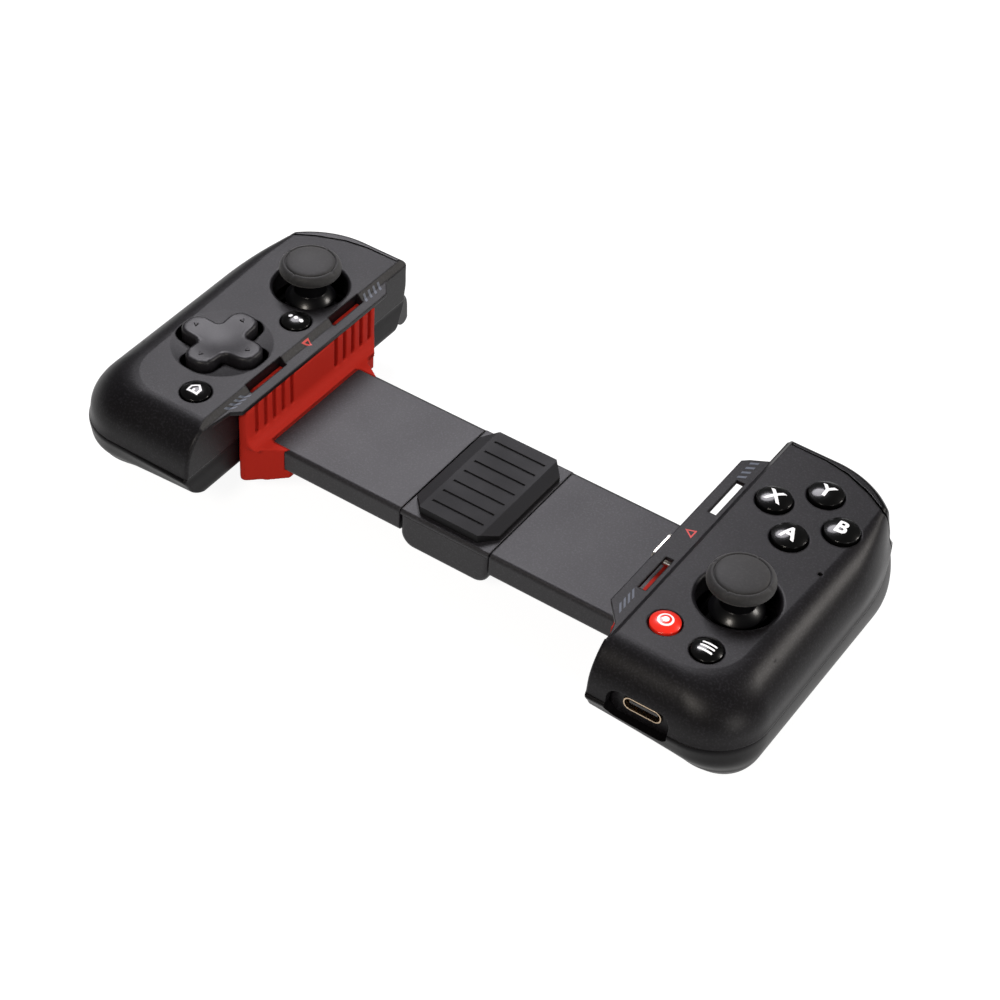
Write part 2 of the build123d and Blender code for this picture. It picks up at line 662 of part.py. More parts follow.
def lip(side):
    """The ledge over the phone on one side."""
    if side > 0:
        edge = RIGHT_LIP_X
        points = [(INNER_X + 2.7, -34.5), (INNER_X, -34.5), (INNER_X - 1, -30.9), (edge, LIP_NEAR_Y),
                  (edge, LIP_FAR_Y), (edge + 1.4, 28.6), (INNER_X, 30.8), (INNER_X + 0.2, 35.0),
                  (INNER_X + 2.7, 35.0)]
    else:
        edge = LEFT_LIP_X
        points = [(-INNER_X - 2.7, -33.6), (-INNER_X, -33.6), (-INNER_X + 0.65, -27.9),
                  (edge, LIP_NEAR_Y), (edge, LIP_FAR_Y), (-INNER_X - 0.2, 31.0), (-INNER_X - 2.7, 31.5)]
    return prism(points, LIP_TOP_Z - LIP_T, LIP_TOP_Z)


def finish_upper_shell(shell, side):
    """Lip, slope, windows, wells, holes and sockets of one upper shell."""
    shell = shell + lip(side)
    slope = profile_y([(side * (INNER_X - 9), LIP_TOP_Z), (side * (INNER_X + 0.2), LIP_TOP_Z),
                       (side * LIP_STEP_X, FACE_Z + 0.01), (side * LIP_STEP_X, FACE_Z + 2),
                       (side * (INNER_X - 9), FACE_Z + 2)], NEAR_Y + 6, FAR_Y + 2)
    shell = shell - slope
    if side > 0:
        for y0, y1 in ((-19.6, -8.4), (8.8, 21.2)):
            shell = shell - box_between((49.1, 51.0), (y0, y1), (LIP_TOP_Z - 2, FACE_Z + 1))
        plug_hole = box_between((INNER_X - 1, INNER_X + WALL + 1),
                                (PLUG_Y - PLUG_W / 2 - 0.1, PLUG_Y + PLUG_W / 2 + 0.1),
                                (PLUG_Z - PLUG_T / 2 - 0.1, PLUG_Z + PLUG_T / 2 + 0.1))
        shell = shell - plug_hole
        shell = add_well(shell, RIGHT_STICK)
        holes = [(x, y, ACTION_HOLE_R) for x, y in button_centres().values()]
        holes += [(*MENU_AT, SMALL_HOLE_R), (*RECORD_AT, SMALL_HOLE_R)]
        shell = cut_face(shell, holes)
        shell = shell - rod(*PINHOLE_AT, FACE_UNDER_Z - 1, FACE_Z + 1, 0.5)
        return shell - port_recess()
    for y0, y1 in ((-19.8, -7.3), (10.3, 21.5)):
        shell = shell - box_between((-53.4, -51.5), (y0, y1), (LIP_TOP_Z - LIP_T - 1.7, FACE_Z + 1))
    shell = add_well(shell, LEFT_STICK)
    shell = cut_face(shell, [(*VIEW_AT, SMALL_HOLE_R), (*HOME_AT, SMALL_HOLE_R)])
    x, y = DPAD_AT
    ball_r = (DPAD_DISH_R ** 2 + DPAD_DISH_DEPTH ** 2) / (2 * DPAD_DISH_DEPTH)
    shell = shell + rod(x, y, FACE_UNDER_Z - 1.0, FACE_UNDER_Z + 0.1, DPAD_DISH_R + 1)
    shell = shell - Pos(x, y, FACE_Z + ball_r - DPAD_DISH_DEPTH) * Sphere(ball_r)
    hole = extrude(cross_outline(DPAD_REACH + DPAD_GAP, DPAD_ARM_W + 2 * DPAD_GAP, 1.3 + DPAD_GAP * 0.5), 8)
    return shell - Pos(x, y, FACE_UNDER_Z - 3) * hole


def port_recess():
    """The pocket round the charging port with the seat of its tray, cut into both shells."""
    pocket = extrude(RectangleRounded(RECESS_W, RECESS_H, 2.6), 6.5)
    seat = extrude(RectangleRounded(RECESS_W + 2.1, RECESS_H + 2.1, 3.25), 4)
    turn = Rot(-90, 0, 0)
    return Pos(PORT_X, PORT_Y - 6.0, PORT_Z) * turn * pocket + Pos(PORT_X, PORT_Y + 0.4, PORT_Z) * turn * seat


def build_liner(side, with_wall):
    """Silicone boot round the arm's root and, on the left, the wall that the phone meets."""
    near, far = BRIDGE_NEAR_Y, BRIDGE_NEAR_Y + BRIDGE_WIDTH
    reach = 5.0
    low_z = 6.0
    x = INNER_X - 0.05
    depth = 10.5 if with_wall else 6.2
    inset_y = 0.5 if with_wall else -2.4
    boot = prism([(x, near - reach), (x - 1.55, near - reach), (x - depth, near + inset_y),
                  (x - depth, far - inset_y), (x - 1.55, far + reach), (x, far + reach)], low_z, ARM_TOP_Z)
    under = profile_y([(x + 1, low_z - 1), (x - 1.8, low_z), (x - 10.6, ARM_BOTTOM_Z - 1.8),
                       (x - 12, ARM_BOTTOM_Z - 1.8), (x - 12, low_z - 1)], near - 9, far + 9)
    boot = boot - under
    if with_wall:
        thick = INNER_X + LEFT_LIP_X + 0.05
        top = LIP_TOP_Z - LIP_T - 0.1
        r = 3.1
        face_x = x - thick
        section = make_face(Wire([
            Line((x, 0, ARM_TOP_Z), (face_x - r, 0, ARM_TOP_Z)).edge(),
            ThreePointArc((face_x - r, 0, ARM_TOP_Z), (face_x - r * 0.293, 0, ARM_TOP_Z + r * 0.293),
                          (face_x, 0, ARM_TOP_Z + r)).edge(),
            Line((face_x, 0, ARM_TOP_Z + r), (face_x, 0, top)).edge(),
            Line((face_x, 0, top), (x, 0, top)).edge(),
            Line((x, 0, top), (x, 0, ARM_TOP_Z)).edge(),
        ]))
        wall = Pos(0, near - reach + 0.2, 0) * extrude(section, 48.0, dir=(0, 1, 0))
        wall_end = near - reach + 48.2
        flare_end = prism([(face_x - 0.02, wall_end + 0.5), (face_x - 0.02, wall_end - 0.6),
                           (face_x - r - 1, wall_end - 5.4), (face_x - r - 1, wall_end + 0.5)],
                          ARM_TOP_Z - 0.5, ARM_TOP_Z + r + 0.5)
        boot = boot + (wall - flare_end)
        skirt_z = ARM_TOP_Z - 7.5
        boot = boot + box_between((face_x, x), (far, 22.8), (skirt_z, ARM_TOP_Z + 1))
        for start, end in ((-21.2, -8.6), (7.8, 20.5)):
            for k in range(5):
                y = start + (end - start) * k / 4
                boot = boot - box_between((face_x - 1, face_x + 1.0), (y - 0.65, y + 0.65),
                                          (18.8, top + 1))
        for y0, y1 in ((-19.8, -7.3), (10.3, 21.5)):
            boot = boot + box_between((x - 0.1, 53.3), (y0 + 0.1, y1 - 0.1), (top - 1.4, top - 0.1))
    else:
        boot = boot + box_between((x - 6.5, x), (near - 0.8, far + 0.8), (ARM_TOP_Z - 1, ARM_TOP_Z + 0.9))
    arm = box_between((20, x + 1), (near, far), (ARM_BOTTOM_Z, ARM_TOP_Z))
    arm = fillet(arm.edges().filter_by(Axis.X), ARM_EDGE_R)
    return to_side(boot - arm, side)


def build_arm(side):
    """A hollow sleeve that runs on the rails, an open channel with ears inside the grip."""
    end = HOUSING_MID_X + side * HOUSING_LENGTH / 2 + side * HOUSING_GAP
    far_end = side * ARM_END_X
    span = tuple(sorted((end, far_end)))
    near, far = BRIDGE_NEAR_Y, BRIDGE_NEAR_Y + BRIDGE_WIDTH
    arm = box_between(span, (near, far), (ARM_BOTTOM_Z, ARM_TOP_Z))
    arm = fillet(arm.edges().filter_by(Axis.X), ARM_EDGE_R)
    cavity = box_between((span[0] - 1, span[1] + 1),
                         (BRIDGE_MID_Y - CHANNEL_HALF, BRIDGE_MID_Y + CHANNEL_HALF),
                         (CHANNEL_Z, CHANNEL_TOP_Z))
    arm = arm - cavity
    open_from = side * (INNER_X + WALL + 0.2)
    under = box_between(tuple(sorted((open_from, far_end + side))), (near - 1, far + 1),
                        (ARM_BOTTOM_Z - 1, CHANNEL_Z))
    arm = arm - under
    for sign in (-1, 1):
        mid = BRIDGE_MID_Y + sign * (BRIDGE_WIDTH / 2 + EAR_REACH / 2 - 0.8)
        ear = box_between((side * EAR_X - EAR_LENGTH / 2, side * EAR_X + EAR_LENGTH / 2),
                          (mid - EAR_REACH / 2 - 0.8, mid + EAR_REACH / 2 + 0.8),
                          (CHANNEL_TOP_Z - 0.5, ARM_TOP_Z))
        ear = fillet(ear.edges().filter_by(Axis.Z), 0.7)
        arm = arm + ear
        arm = arm - rod(side * EAR_X, BRIDGE_MID_Y + sign * ear_offset(), ARM_BOTTOM_Z, ARM_TOP_Z + 1,
                        SCREW_R + 0.1)
    return arm


def build_rack(side):
    """A toothed bar from one arm, past the pinion and into the other arm."""
    pitch = pi * GEAR_MODULE
    tip = PITCH_R - GEAR_MODULE
    root = PITCH_R + 1.25 * GEAR_MODULE
    length = SLIDE_TRAVEL + RACK_OVERRUN
    foot_x = -(ARM_END_X - 2 + HOUSING_MID_X)
    bar = box_between((foot_x, length), (-root - RACK_BACK, -root), (BAR_Z, BAR_Z + BAR_H))
    half_pitch = pitch / 4 - BACKLASH / 4
    lean = GEAR_MODULE * tan(radians(20))
    count = int(length / pitch)
    teeth = []
    for k in range(-1, count):
        mid = (k + 0.5) * pitch
        deep = lean * 1.25
        tooth = prism([(mid - half_pitch - deep, -root - 0.1), (mid - half_pitch + lean, -tip),
                       (mid + half_pitch - lean, -tip), (mid + half_pitch + deep, -root - 0.1)],
                      BAR_Z, BAR_Z + BAR_H)
        teeth.append(tooth)
    bar = bar.fuse(*teeth)
    foot = box_between((foot_x, foot_x + RACK_FOOT), (-root - RACK_BACK, -tip), (BAR_Z, CHANNEL_TOP_Z))
    bar = bar + foot
    turn = 0 if side < 0 else 180
    return Pos(HOUSING_MID_X, BRIDGE_MID_Y, 0) * Rot(0, 0, turn) * bar


def build_pinion():
    """The gear that keeps both arms level."""
    tip_r = PITCH_R + GEAR_MODULE * 0.9
    root_r = PITCH_R - 1.2 * GEAR_MODULE
    gear = rod(0, 0, BAR_Z, BAR_Z + BAR_H, root_r)
    thick = pi * GEAR_MODULE / 2 - BACKLASH / 2
    teeth = []
    for k in range(GEAR_TEETH):
        section = [(root_r - 0.3, -thick * 0.58), (root_r + 0.35, -thick * 0.55), (PITCH_R, -thick * 0.47),
                   (tip_r, -thick * 0.22), (tip_r, thick * 0.22), (PITCH_R, thick * 0.47),
                   (root_r + 0.35, thick * 0.55), (root_r - 0.3, thick * 0.58)]
        teeth.append(Rot(0, 0, 360 * k / GEAR_TEETH) * prism(section, BAR_Z, BAR_Z + BAR_H))
    gear = gear.fuse(*teeth)
    gear = gear - rod(0, 0, BAR_Z - 1, BAR_Z + BAR_H + 1, PINION_POST_R + PIVOT_GAP)
    return Pos(HOUSING_MID_X, BRIDGE_MID_Y, 0) * gear


def rail_centres():
    """Distances of the two rails from the bridge's centre line."""
    return (-(CHANNEL_HALF - 0.5 - RAIL_W / 2), CHANNEL_HALF - 0.5 - RAIL_W / 2)


def bridge_screw_points():
    """Where the lid screws go down through the rails."""
    return [(HOUSING_MID_X + sx * 7, BRIDGE_MID_Y + offset) for sx in (-1, 1) for offset in rail_centres()]


def build_bridge():
    """Tub, lid, pad, rails and lid screws."""
    x0, x1 = HOUSING_MID_X - HOUSING_LENGTH / 2, HOUSING_MID_X + HOUSING_LENGTH / 2
    y0, y1 = BRIDGE_NEAR_Y, BRIDGE_NEAR_Y + BRIDGE_WIDTH
    lid_z = ARM_TOP_Z - COVER_T
    tub = box_between((x0, x1), (y0, y1), (HOUSING_BOTTOM_Z, lid_z))
    low_edges = tub.edges().filter_by_position(Axis.Z, HOUSING_BOTTOM_Z - 0.01, HOUSING_BOTTOM_Z + 0.01)
    tub = fillet(low_edges.filter_by(Axis.Y), HOUSING_CORNER_R)
    tub = fillet(tub.edges().filter_by(Axis.X).sort_by(Axis.Z)[0:2], 1.1)
    w = HOUSING_WALL
    pocket = box_between((x0 + w, x1 - w), (BRIDGE_MID_Y - 9.6, BRIDGE_MID_Y + 9.6),
                         (HOUSING_BOTTOM_Z + w + 0.6, lid_z + 1))
    slot = box_between((x0 - 1, x1 + 1), (BRIDGE_MID_Y - 8.6, BRIDGE_MID_Y + 8.6), (CHANNEL_Z, lid_z + 1))
    tub = tub - pocket - slot
    for offset in rail_centres():
        groove = box_between((x0 - 1, x1 + 1),
                             (BRIDGE_MID_Y + offset - RAIL_W / 2, BRIDGE_MID_Y + offset + RAIL_W / 2),
                             (BAR_Z, lid_z + 1))
        tub = tub - groove
    tub = tub + rod(HOUSING_MID_X, BRIDGE_MID_Y, HOUSING_BOTTOM_Z + w, BAR_Z - 0.1, PINION_POST_R + 1.2)
    tub = tub + rod(HOUSING_MID_X, BRIDGE_MID_Y, HOUSING_BOTTOM_Z + w, lid_z, PINION_POST_R)
    lid = box_between((x0, x1), (y0, y1), (lid_z, ARM_TOP_Z))
    lid = chamfer(lid.edges().filter_by_position(Axis.Z, ARM_TOP_Z - 0.01, ARM_TOP_Z + 0.01)
                  .filter_by(Axis.X), 0.5)
    for offset in rail_centres():
        ridge = box_between((x0 + 0.1, x1 - 0.1),
                            (BRIDGE_MID_Y + offset - RAIL_W / 2 + 0.1, BRIDGE_MID_Y + offset + RAIL_W / 2 - 0.1),
                            (BAR_Z + BAR_H, lid_z + 0.1))
        lid = lid + ridge
    screws = []
    rails = [box_between((-RAIL_END_X, RAIL_END_X),
                         (BRIDGE_MID_Y + offset - RAIL_W / 2, BRIDGE_MID_Y + offset + RAIL_W / 2),
                         (BAR_Z, BAR_Z + BAR_H)) for offset in rail_centres()]
    for sx, sy in bridge_screw_points():
        lid = lid - rod(sx, sy, lid_z - 2, ARM_TOP_Z + 1, SCREW_R + 0.1)
        lid = lid - rod(sx, sy, ARM_TOP_Z - 0.9, ARM_TOP_Z + 1, SCREW_HEAD_R * 0.85)
        rails = [rail - rod(sx, sy, BAR_Z - 1, BAR_Z + BAR_H + 1, SCREW_R + 0.1) for rail in rails]
        tub = tub - rod(sx, sy, HOUSING_BOTTOM_Z + 1.2, BAR_Z + 1, SCREW_R - 0.15)
        shank = rod(sx, sy, HOUSING_BOTTOM_Z + 1.4, ARM_TOP_Z - 0.8, SCREW_R - 0.15)
        head = rod(sx, sy, ARM_TOP_Z - 0.9, ARM_TOP_Z - 0.1, SCREW_HEAD_R * 0.85 - 0.1)
        screws.append(shank + head)
    return tub, lid, build_pad(), Compound(rails), Compound(screws)


def build_pad():
    """Eight-sided rubber pad with sloping long sides and straight grooves."""
    hx, hy = PAD_HALF_X, PAD_HALF_Y
    cx, cy = PAD_CUT_X, PAD_CUT_Y
    points = [(-hx, -hy + cy), (-hx + cx, -hy), (hx - cx, -hy), (hx, -hy + cy), (hx, hy - cy),
              (hx - cx, hy), (-hx + cx, hy), (-hx, hy - cy)]
    pad = prism(points, 0, PAD_H)
    for side in (-1, 1):
        pad = pad - profile_y([(side * (hx + 0.1), PAD_EDGE_H), (side * (hx - PAD_SLOPE_W), PAD_H + 0.001),
                               (side * (hx - PAD_SLOPE_W), PAD_H + 1), (side * (hx + 0.1), PAD_H + 1)],
                              -hy - 1, hy + 1)
    band = 2 * (hy - 3.5)
    for k in range(PAD_GROOVES):
        y = -band / 2 + band * k / (PAD_GROOVES - 1)
        pad = pad - Pos(0, y, PAD_H) * Box(2 * (hx - PAD_SLOPE_W) - 2.4, PAD_GROOVE_W, 2 * PAD_GROOVE_DEPTH)
    return Pos(HOUSING_MID_X, BRIDGE_MID_Y + PAD_SHIFT_Y, ARM_TOP_Z) * pad


def build_board(side):
    """Circuit board of one grip, clear of posts and of the port."""
    corners = inset(upper_outline(0), BOARD_MARGIN)
    board = extrude(rounded_face(corners, BOARD_Z), BOARD_T, dir=(0, 0, 1))
    board = board & box_between((INNER_X, OUTER_X), (NEAR_Y, BOARD_FAR_Y), (BOARD_Z, BOARD_TOP_Z))
    for x, y in SHELL_POSTS:
        board = board - rod(x, y, BOARD_Z - 1, BOARD_TOP_Z + 1, POST_R + 0.4)
    board = to_side(board, side)
    if side > 0:
        board = board - box_between((PORT_X - 5, PORT_X + 5), (NEAR_Y, PORT_Y + 7.6),
                                    (BOARD_Z - 1, BOARD_TOP_Z + 1))
        board = board - box_between((PORT_X - RECESS_W / 2 - 1, PORT_X + RECESS_W / 2 + 1),
                                    (NEAR_Y, PORT_Y + 2.0), (BOARD_Z - 1, BOARD_TOP_Z + 1))
    return board


def build_screws(points, seat_z, top_z, side):
    """Screws that go up into their posts from below, one for each point."""
    pieces = []
    for x, y in points:
        screw = rod(x, y, seat_z - SCREW_HEAD_H, seat_z, SCREW_HEAD_R)
        screw = screw + rod(x, y, seat_z - 0.2, top_z, SCREW_R - 0.15)
        screw = screw - rod(x, y, seat_z - SCREW_HEAD_H - 1, seat_z - SCREW_HEAD_H + 0.5, 0.7)
        pieces.append(to_side(screw, side))
    return Compound(pieces)


def build_arm_screws(side):
    """Screws that go down through an arm's ears into the palm shell."""
    pieces = []
    for sign in (-1, 1):
        x, y = side * EAR_X, BRIDGE_MID_Y + sign * ear_offset()
        screw = rod(x, y, 10.0, ARM_TOP_Z + 0.1, SCREW_R - 0.15)
        screw = screw + rod(x, y, ARM_TOP_Z, ARM_TOP_Z + 0.4, SCREW_HEAD_R)
        pieces.append(screw)
    return Compound(pieces)


def build_plug():
    """The plug that goes into the phone, and the small board that carries it."""
    shell = extrude(RectangleRounded(PLUG_W, PLUG_T, PLUG_T / 2 - 0.05), 57.5 - PLUG_TIP_X)
    bore = extrude(RectangleRounded(PLUG_W - 0.6, PLUG_T - 0.6, PLUG_T / 2 - 0.4), 6.5)
    plug = shell - bore
    plug = Pos(PLUG_TIP_X, PLUG_Y, PLUG_Z) * Rot(0, 90, 0) * Rot(0, 0, 90) * plug
    carrier = box_between((INNER_X + WALL + 0.3, 59.0), (PLUG_Y - 5.4, PLUG_Y + 5.4),
                          (BOARD_TOP_Z, PLUG_Z - PLUG_T / 2))
    return plug, carrier


def build_port():
    """Socket shell, its tongue, and the tray that closes the pocket round it."""
    depth = 7.3
    turn = Rot(-90, 0, 0)
    shell = extrude(RectangleRounded(PORT_W, PORT_T, PORT_T / 2 - 0.02), depth)
    bore = extrude(RectangleRounded(PORT_W - 0.6, PORT_T - 0.6, PORT_T / 2 - 0.35), depth - 1)
    shell = Pos(PORT_X, PORT_Y, PORT_Z) * turn * (shell - bore)
    tongue = box_between((PORT_X - 3.35, PORT_X + 3.35), (PORT_Y + 0.6, PORT_Y + depth - 1),
                         (PORT_Z - 0.35, PORT_Z + 0.35))
    tray = extrude(RectangleRounded(RECESS_W + 2.0, RECESS_H + 2.0, 3.2), 1.3)
    hole = extrude(RectangleRounded(PORT_W + 0.1, PORT_T + 0.1, PORT_T / 2), 3)
    tray = Pos(PORT_X, PORT_Y + 0.4, PORT_Z) * turn * tray - Pos(PORT_X, PORT_Y - 1, PORT_Z) * turn * hole
    return shell, tongue, tray


def main():
    """Build and write every piece."""
    os.makedirs("parts", exist_ok=True)
    upper_solid = upper_form()
    upper_hollow = upper_form(WALL)
    upper = build_upper_shell(upper_solid, upper_hollow)
    bumper = build_bumper(upper_solid, upper_hollow)
    lower = build_lower_shell()
    trigger = build_trigger()
    pin = rod_x(LUGS_X[0], LUGS_X[1] + LUG_T, TRIGGER_PIN_Y, TRIGGER_PIN_Z, TRIGGER_PIN_R)
    sides = {"left": (-1, LEFT_STICK), "right": (1, RIGHT_STICK)}
    for name, (side, stick_at) in sides.items():
        save(f"{name}_upper_shell", finish_upper_shell(to_side(upper, side), side))
        palm = to_side(lower, side)
        if side > 0:
            palm = palm - port_recess()
        save(f"{name}_lower_shell", palm)
        save(f"{name}_bumper", to_side(bumper, side))
        save(f"{name}_trigger", to_side(trigger, side))
        save(f"{name}_trigger_pin", to_side(pin, side))
        save(f"{name}_arm", build_arm(side))
        save(f"{name}_rack", build_rack(side))
        save(f"{name}_liner", build_liner(side, side < 0))
        save(f"{name}_circuit_board", build_board(side))
        save(f"{name}_shell_screws", build_screws(SHELL_POSTS, HEAD_SEAT_Z, SEAM_Z + 6, side))
        save(f"{name}_arm_screws", build_arm_screws(side))
        module, yoke, stem, cap = build_stick(stick_at)
        save(f"{name}_stick_module", module)
        save(f"{name}_stick_yoke", yoke)
        save(f"{name}_stick_stem", stem)
        save(f"{name}_stick_cap", cap)
    for name, at in button_centres().items():
        save(name, build_button(at, ACTION_HOLE_R, BUTTON_RISE))
    smalls = {"view_button": VIEW_AT, "home_button": HOME_AT, "menu_button": MENU_AT,
              "record_button": RECORD_AT}
    for name, at in smalls.items():
        save(name, build_button(at, SMALL_HOLE_R, SMALL_RISE))
    save("action_mat", build_mat([BUTTON_MID, *button_centres().values()]))
    save("menu_mat", build_mat([RECORD_AT, MENU_AT]))
    save("home_mat", build_mat([HOME_AT]))
    save("view_mat", build_mat([VIEW_AT]))
    post, rocker, dpad = build_dpad()
    save("dpad_post", post)
    save("dpad_rocker", rocker)
    save("dpad", dpad)
    tub, lid, pad, rails, screws = build_bridge()
    save("bridge_housing", tub)
    save("bridge_cover", lid)
    save("grip_pad", pad)
    save("guide_rails", rails)
    save("bridge_screws", screws)
    save("sync_pinion", build_pinion())
    plug, carrier = build_plug()
    save("phone_plug", plug)
    save("plug_board", carrier)
    socket, tongue, tray = build_port()
    save("charging_port", socket)
    save("port_tongue", tongue)
    save("port_surround", tray)


main()
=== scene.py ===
"""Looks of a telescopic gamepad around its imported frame: finishes, marks, soft shapes and studio."""
from __future__ import annotations

import json
import logging
import math
from dataclasses import dataclass, field
from enum import Enum
from typing import Any, Callable, Mapping, Protocol, Sequence

import bmesh
import bpy
from mathutils import Matrix, Vector

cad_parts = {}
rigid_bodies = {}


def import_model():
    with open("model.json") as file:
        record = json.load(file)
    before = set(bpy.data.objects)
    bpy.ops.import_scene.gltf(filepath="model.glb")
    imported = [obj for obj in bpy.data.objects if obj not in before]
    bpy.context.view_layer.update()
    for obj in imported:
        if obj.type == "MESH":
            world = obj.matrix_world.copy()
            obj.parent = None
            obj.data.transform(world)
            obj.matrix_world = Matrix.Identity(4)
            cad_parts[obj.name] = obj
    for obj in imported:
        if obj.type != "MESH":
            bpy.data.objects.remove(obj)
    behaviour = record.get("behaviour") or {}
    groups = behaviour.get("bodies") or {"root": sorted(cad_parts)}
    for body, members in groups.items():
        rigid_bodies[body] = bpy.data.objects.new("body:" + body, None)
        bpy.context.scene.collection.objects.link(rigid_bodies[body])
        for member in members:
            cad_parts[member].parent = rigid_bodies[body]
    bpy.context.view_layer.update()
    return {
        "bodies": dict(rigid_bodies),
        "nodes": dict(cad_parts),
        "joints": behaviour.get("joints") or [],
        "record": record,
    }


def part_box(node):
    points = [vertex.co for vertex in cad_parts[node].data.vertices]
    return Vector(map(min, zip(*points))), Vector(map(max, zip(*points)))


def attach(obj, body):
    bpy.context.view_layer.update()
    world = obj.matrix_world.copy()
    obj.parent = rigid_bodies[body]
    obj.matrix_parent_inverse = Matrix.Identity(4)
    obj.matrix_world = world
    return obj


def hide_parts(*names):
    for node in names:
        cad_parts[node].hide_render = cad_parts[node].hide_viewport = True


LOG = logging.getLogger("gamepad")
MM = 0.001
WHITE = (1.0, 1.0, 1.0, 1.0)
# How deep a printed mark stands in its ground, in millimetres.
INK_DEPTH = 0.03
# How far above its node a mark starts on its way down, in metres.
DROP = 0.01
# Pitch of the cuts that let a flat face follow a dome, and their shift off its corners, in millimetres.
GRID_STEP = 0.7
GRID_SHIFT = 0.013
# Points of a drawing this near each other are one, and points this near a cut lie on it.
SAME_POINT = 1e-4
ON_CUT = 1e-5
# Turns a finish's colour against its relief, so that their patterns differ.
COLOUR_TURN = (0.3, 0.5, 0.2)
# Numbers of the mix node's colour sockets, whose names its other sockets have too.
MIX_COLOUR = 6
MIX_OTHER = 7
MIX_RESULT = 2
# The house of the home button and its doorway, in millimetres.
HOUSE = ((-1.5, -1.45), (1.5, -1.45), (1.5, 0.35), (0.0, 1.65), (-1.5, 0.35))
HOUSE_LINE = 0.5
DOOR_MIDDLE = (0.0, -0.7)
DOOR_HEIGHT = 0.95
DOOR_WIDTH = 0.6
# The arrow head on an arm of the cross, in millimetres.
ARROW = ((-0.55, -0.45), (0.55, -0.45), (0.0, 0.55))
# How much bolder than the built-in face the capitals are, as a share of its size.
CAPITAL_BOLDNESS = 0.028

Point = tuple[float, float]
Place = tuple[float, float, float]
Colour = tuple[float, float, float, float]
Frame = Mapping[str, Any]
Piece = bpy.types.Object
Shape = bmesh.types.BMesh
Tree = bpy.types.NodeTree
Socket = bpy.types.NodeSocket
Settings = Mapping[Any, Any]
Links = Mapping[Any, Socket]
Drawing = Callable[[Shape], None]


class Side(Enum):
    """One of the two grips, with the sign of its X places."""

    LEFT = -1
    RIGHT = 1

    @property
    def word(self) -> str:
        """The side's part of a node's name."""
        return self.name.lower()


class Grain(Enum):
    """How coarse a mould's texture is, as the size of one grain in millimetres."""

    SPARK = 0.34
    FINE = 0.2
    STIPPLE = 0.5


def linear(colour: str) -> Colour:
    """Turns an sRGB hex colour into linear values.

    Args:
        colour: Six hex digits with a leading hash.

    Returns:
        Linear red, green, blue and an alpha of 1.
    """
    parts = [int(colour[i:i + 2], 16) / 255 for i in (1, 3, 5)]
    values = [p / 12.92 if p <= 0.04045 else ((p + 0.055) / 1.055) ** 2.4 for p in parts]
    return (values[0], values[1], values[2], 1.0)


def add_node(tree: Tree, kind: str, settings: Settings | None = None,
             links: Links | None = None) -> bpy.types.Node:
    """Adds one node with its settings and links.

    Args:
        tree: The material's or world's node tree.
        kind: The node's type name.
        settings: Values by property name, or by input name or number.
        links: Sockets to join, by input name or number.

    Returns:
        The new node.
    """
    node = tree.nodes.new(kind)
    for key, value in (settings or {}).items():
        if isinstance(key, str) and key in node.bl_rna.properties:
            setattr(node, key, value)
        else:
            node.inputs[key].default_value = value
    for key, socket in (links or {}).items():
        tree.links.new(socket, node.inputs[key])
    return node


def add_noise(tree: Tree, place: Socket, size: float, detail: float, roughness: float = 0.5) -> Socket:
    """Adds a cloudy pattern.

    Args:
        tree: The material's node tree.
        place: The coordinates that it follows.
        size: The size of its spots in millimetres.
        detail: How many finer layers it has.
        roughness: How strong the finer layers are.

    Returns:
        The pattern, from 0 to 1.
    """
    settings = {"Scale": 1 / (size * MM), "Detail": detail, "Roughness": roughness}
    return add_node(tree, "ShaderNodeTexNoise", settings, {"Vector": place}).outputs[0]


def add_range(tree: Tree, value: Socket, source: Point, target: Point) -> Socket:
    """Spreads one range of values over another.

    Args:
        tree: The material's node tree.
        value: The value to turn.
        source: The ends of its range.
        target: What they become.

    Returns:
        The new value.
    """
    settings = {"From Min": source[0], "From Max": source[1], "To Min": target[0], "To Max": target[1]}
    return add_node(tree, "ShaderNodeMapRange", settings, {"Value": value}).outputs[0]


def add_bump(tree: Tree, height: Socket, normal: Socket, depth: float) -> Socket:
    """Adds a fine relief.

    Args:
        tree: The material's node tree.
        height: The relief's pattern.
        normal: The normal below it.
        depth: Its depth in millimetres.

    Returns:
        The new normal.
    """
    settings = {"Strength": 1.0, "Distance": depth * MM}
    return add_node(tree, "ShaderNodeBump", settings, {"Height": height, "Normal": normal}).outputs[0]


def add_mix(tree: Tree, share: Socket, colour: str, other: str) -> Socket:
    """Mixes two colours.

    Args:
        tree: The material's node tree.
        share: How much of the other colour shows.
        colour: The main colour.
        other: The other colour.

    Returns:
        The mixed colour.
    """
    settings = {"data_type": "RGBA", MIX_COLOUR: linear(colour), MIX_OTHER: linear(other)}
    return add_node(tree, "ShaderNodeMix", settings, {0: share}).outputs[MIX_RESULT]


def new_material(name: str) -> tuple[bpy.types.Material, Tree]:
    """Makes an empty node material.

    Args:
        name: The material's name.

    Returns:
        The material and its node tree.
    """
    material = bpy.data.materials.new(name)
    material.use_nodes = True
    material.node_tree.nodes.clear()
    return material, material.node_tree


def finish_tree(tree: Tree, shader: bpy.types.Node) -> None:
    """Joins a shader to the tree's output.

    Args:
        tree: The node tree.
        shader: The node that gives the surface.
    """
    add_node(tree, "ShaderNodeOutputMaterial", links={"Surface": shader.outputs[0]})


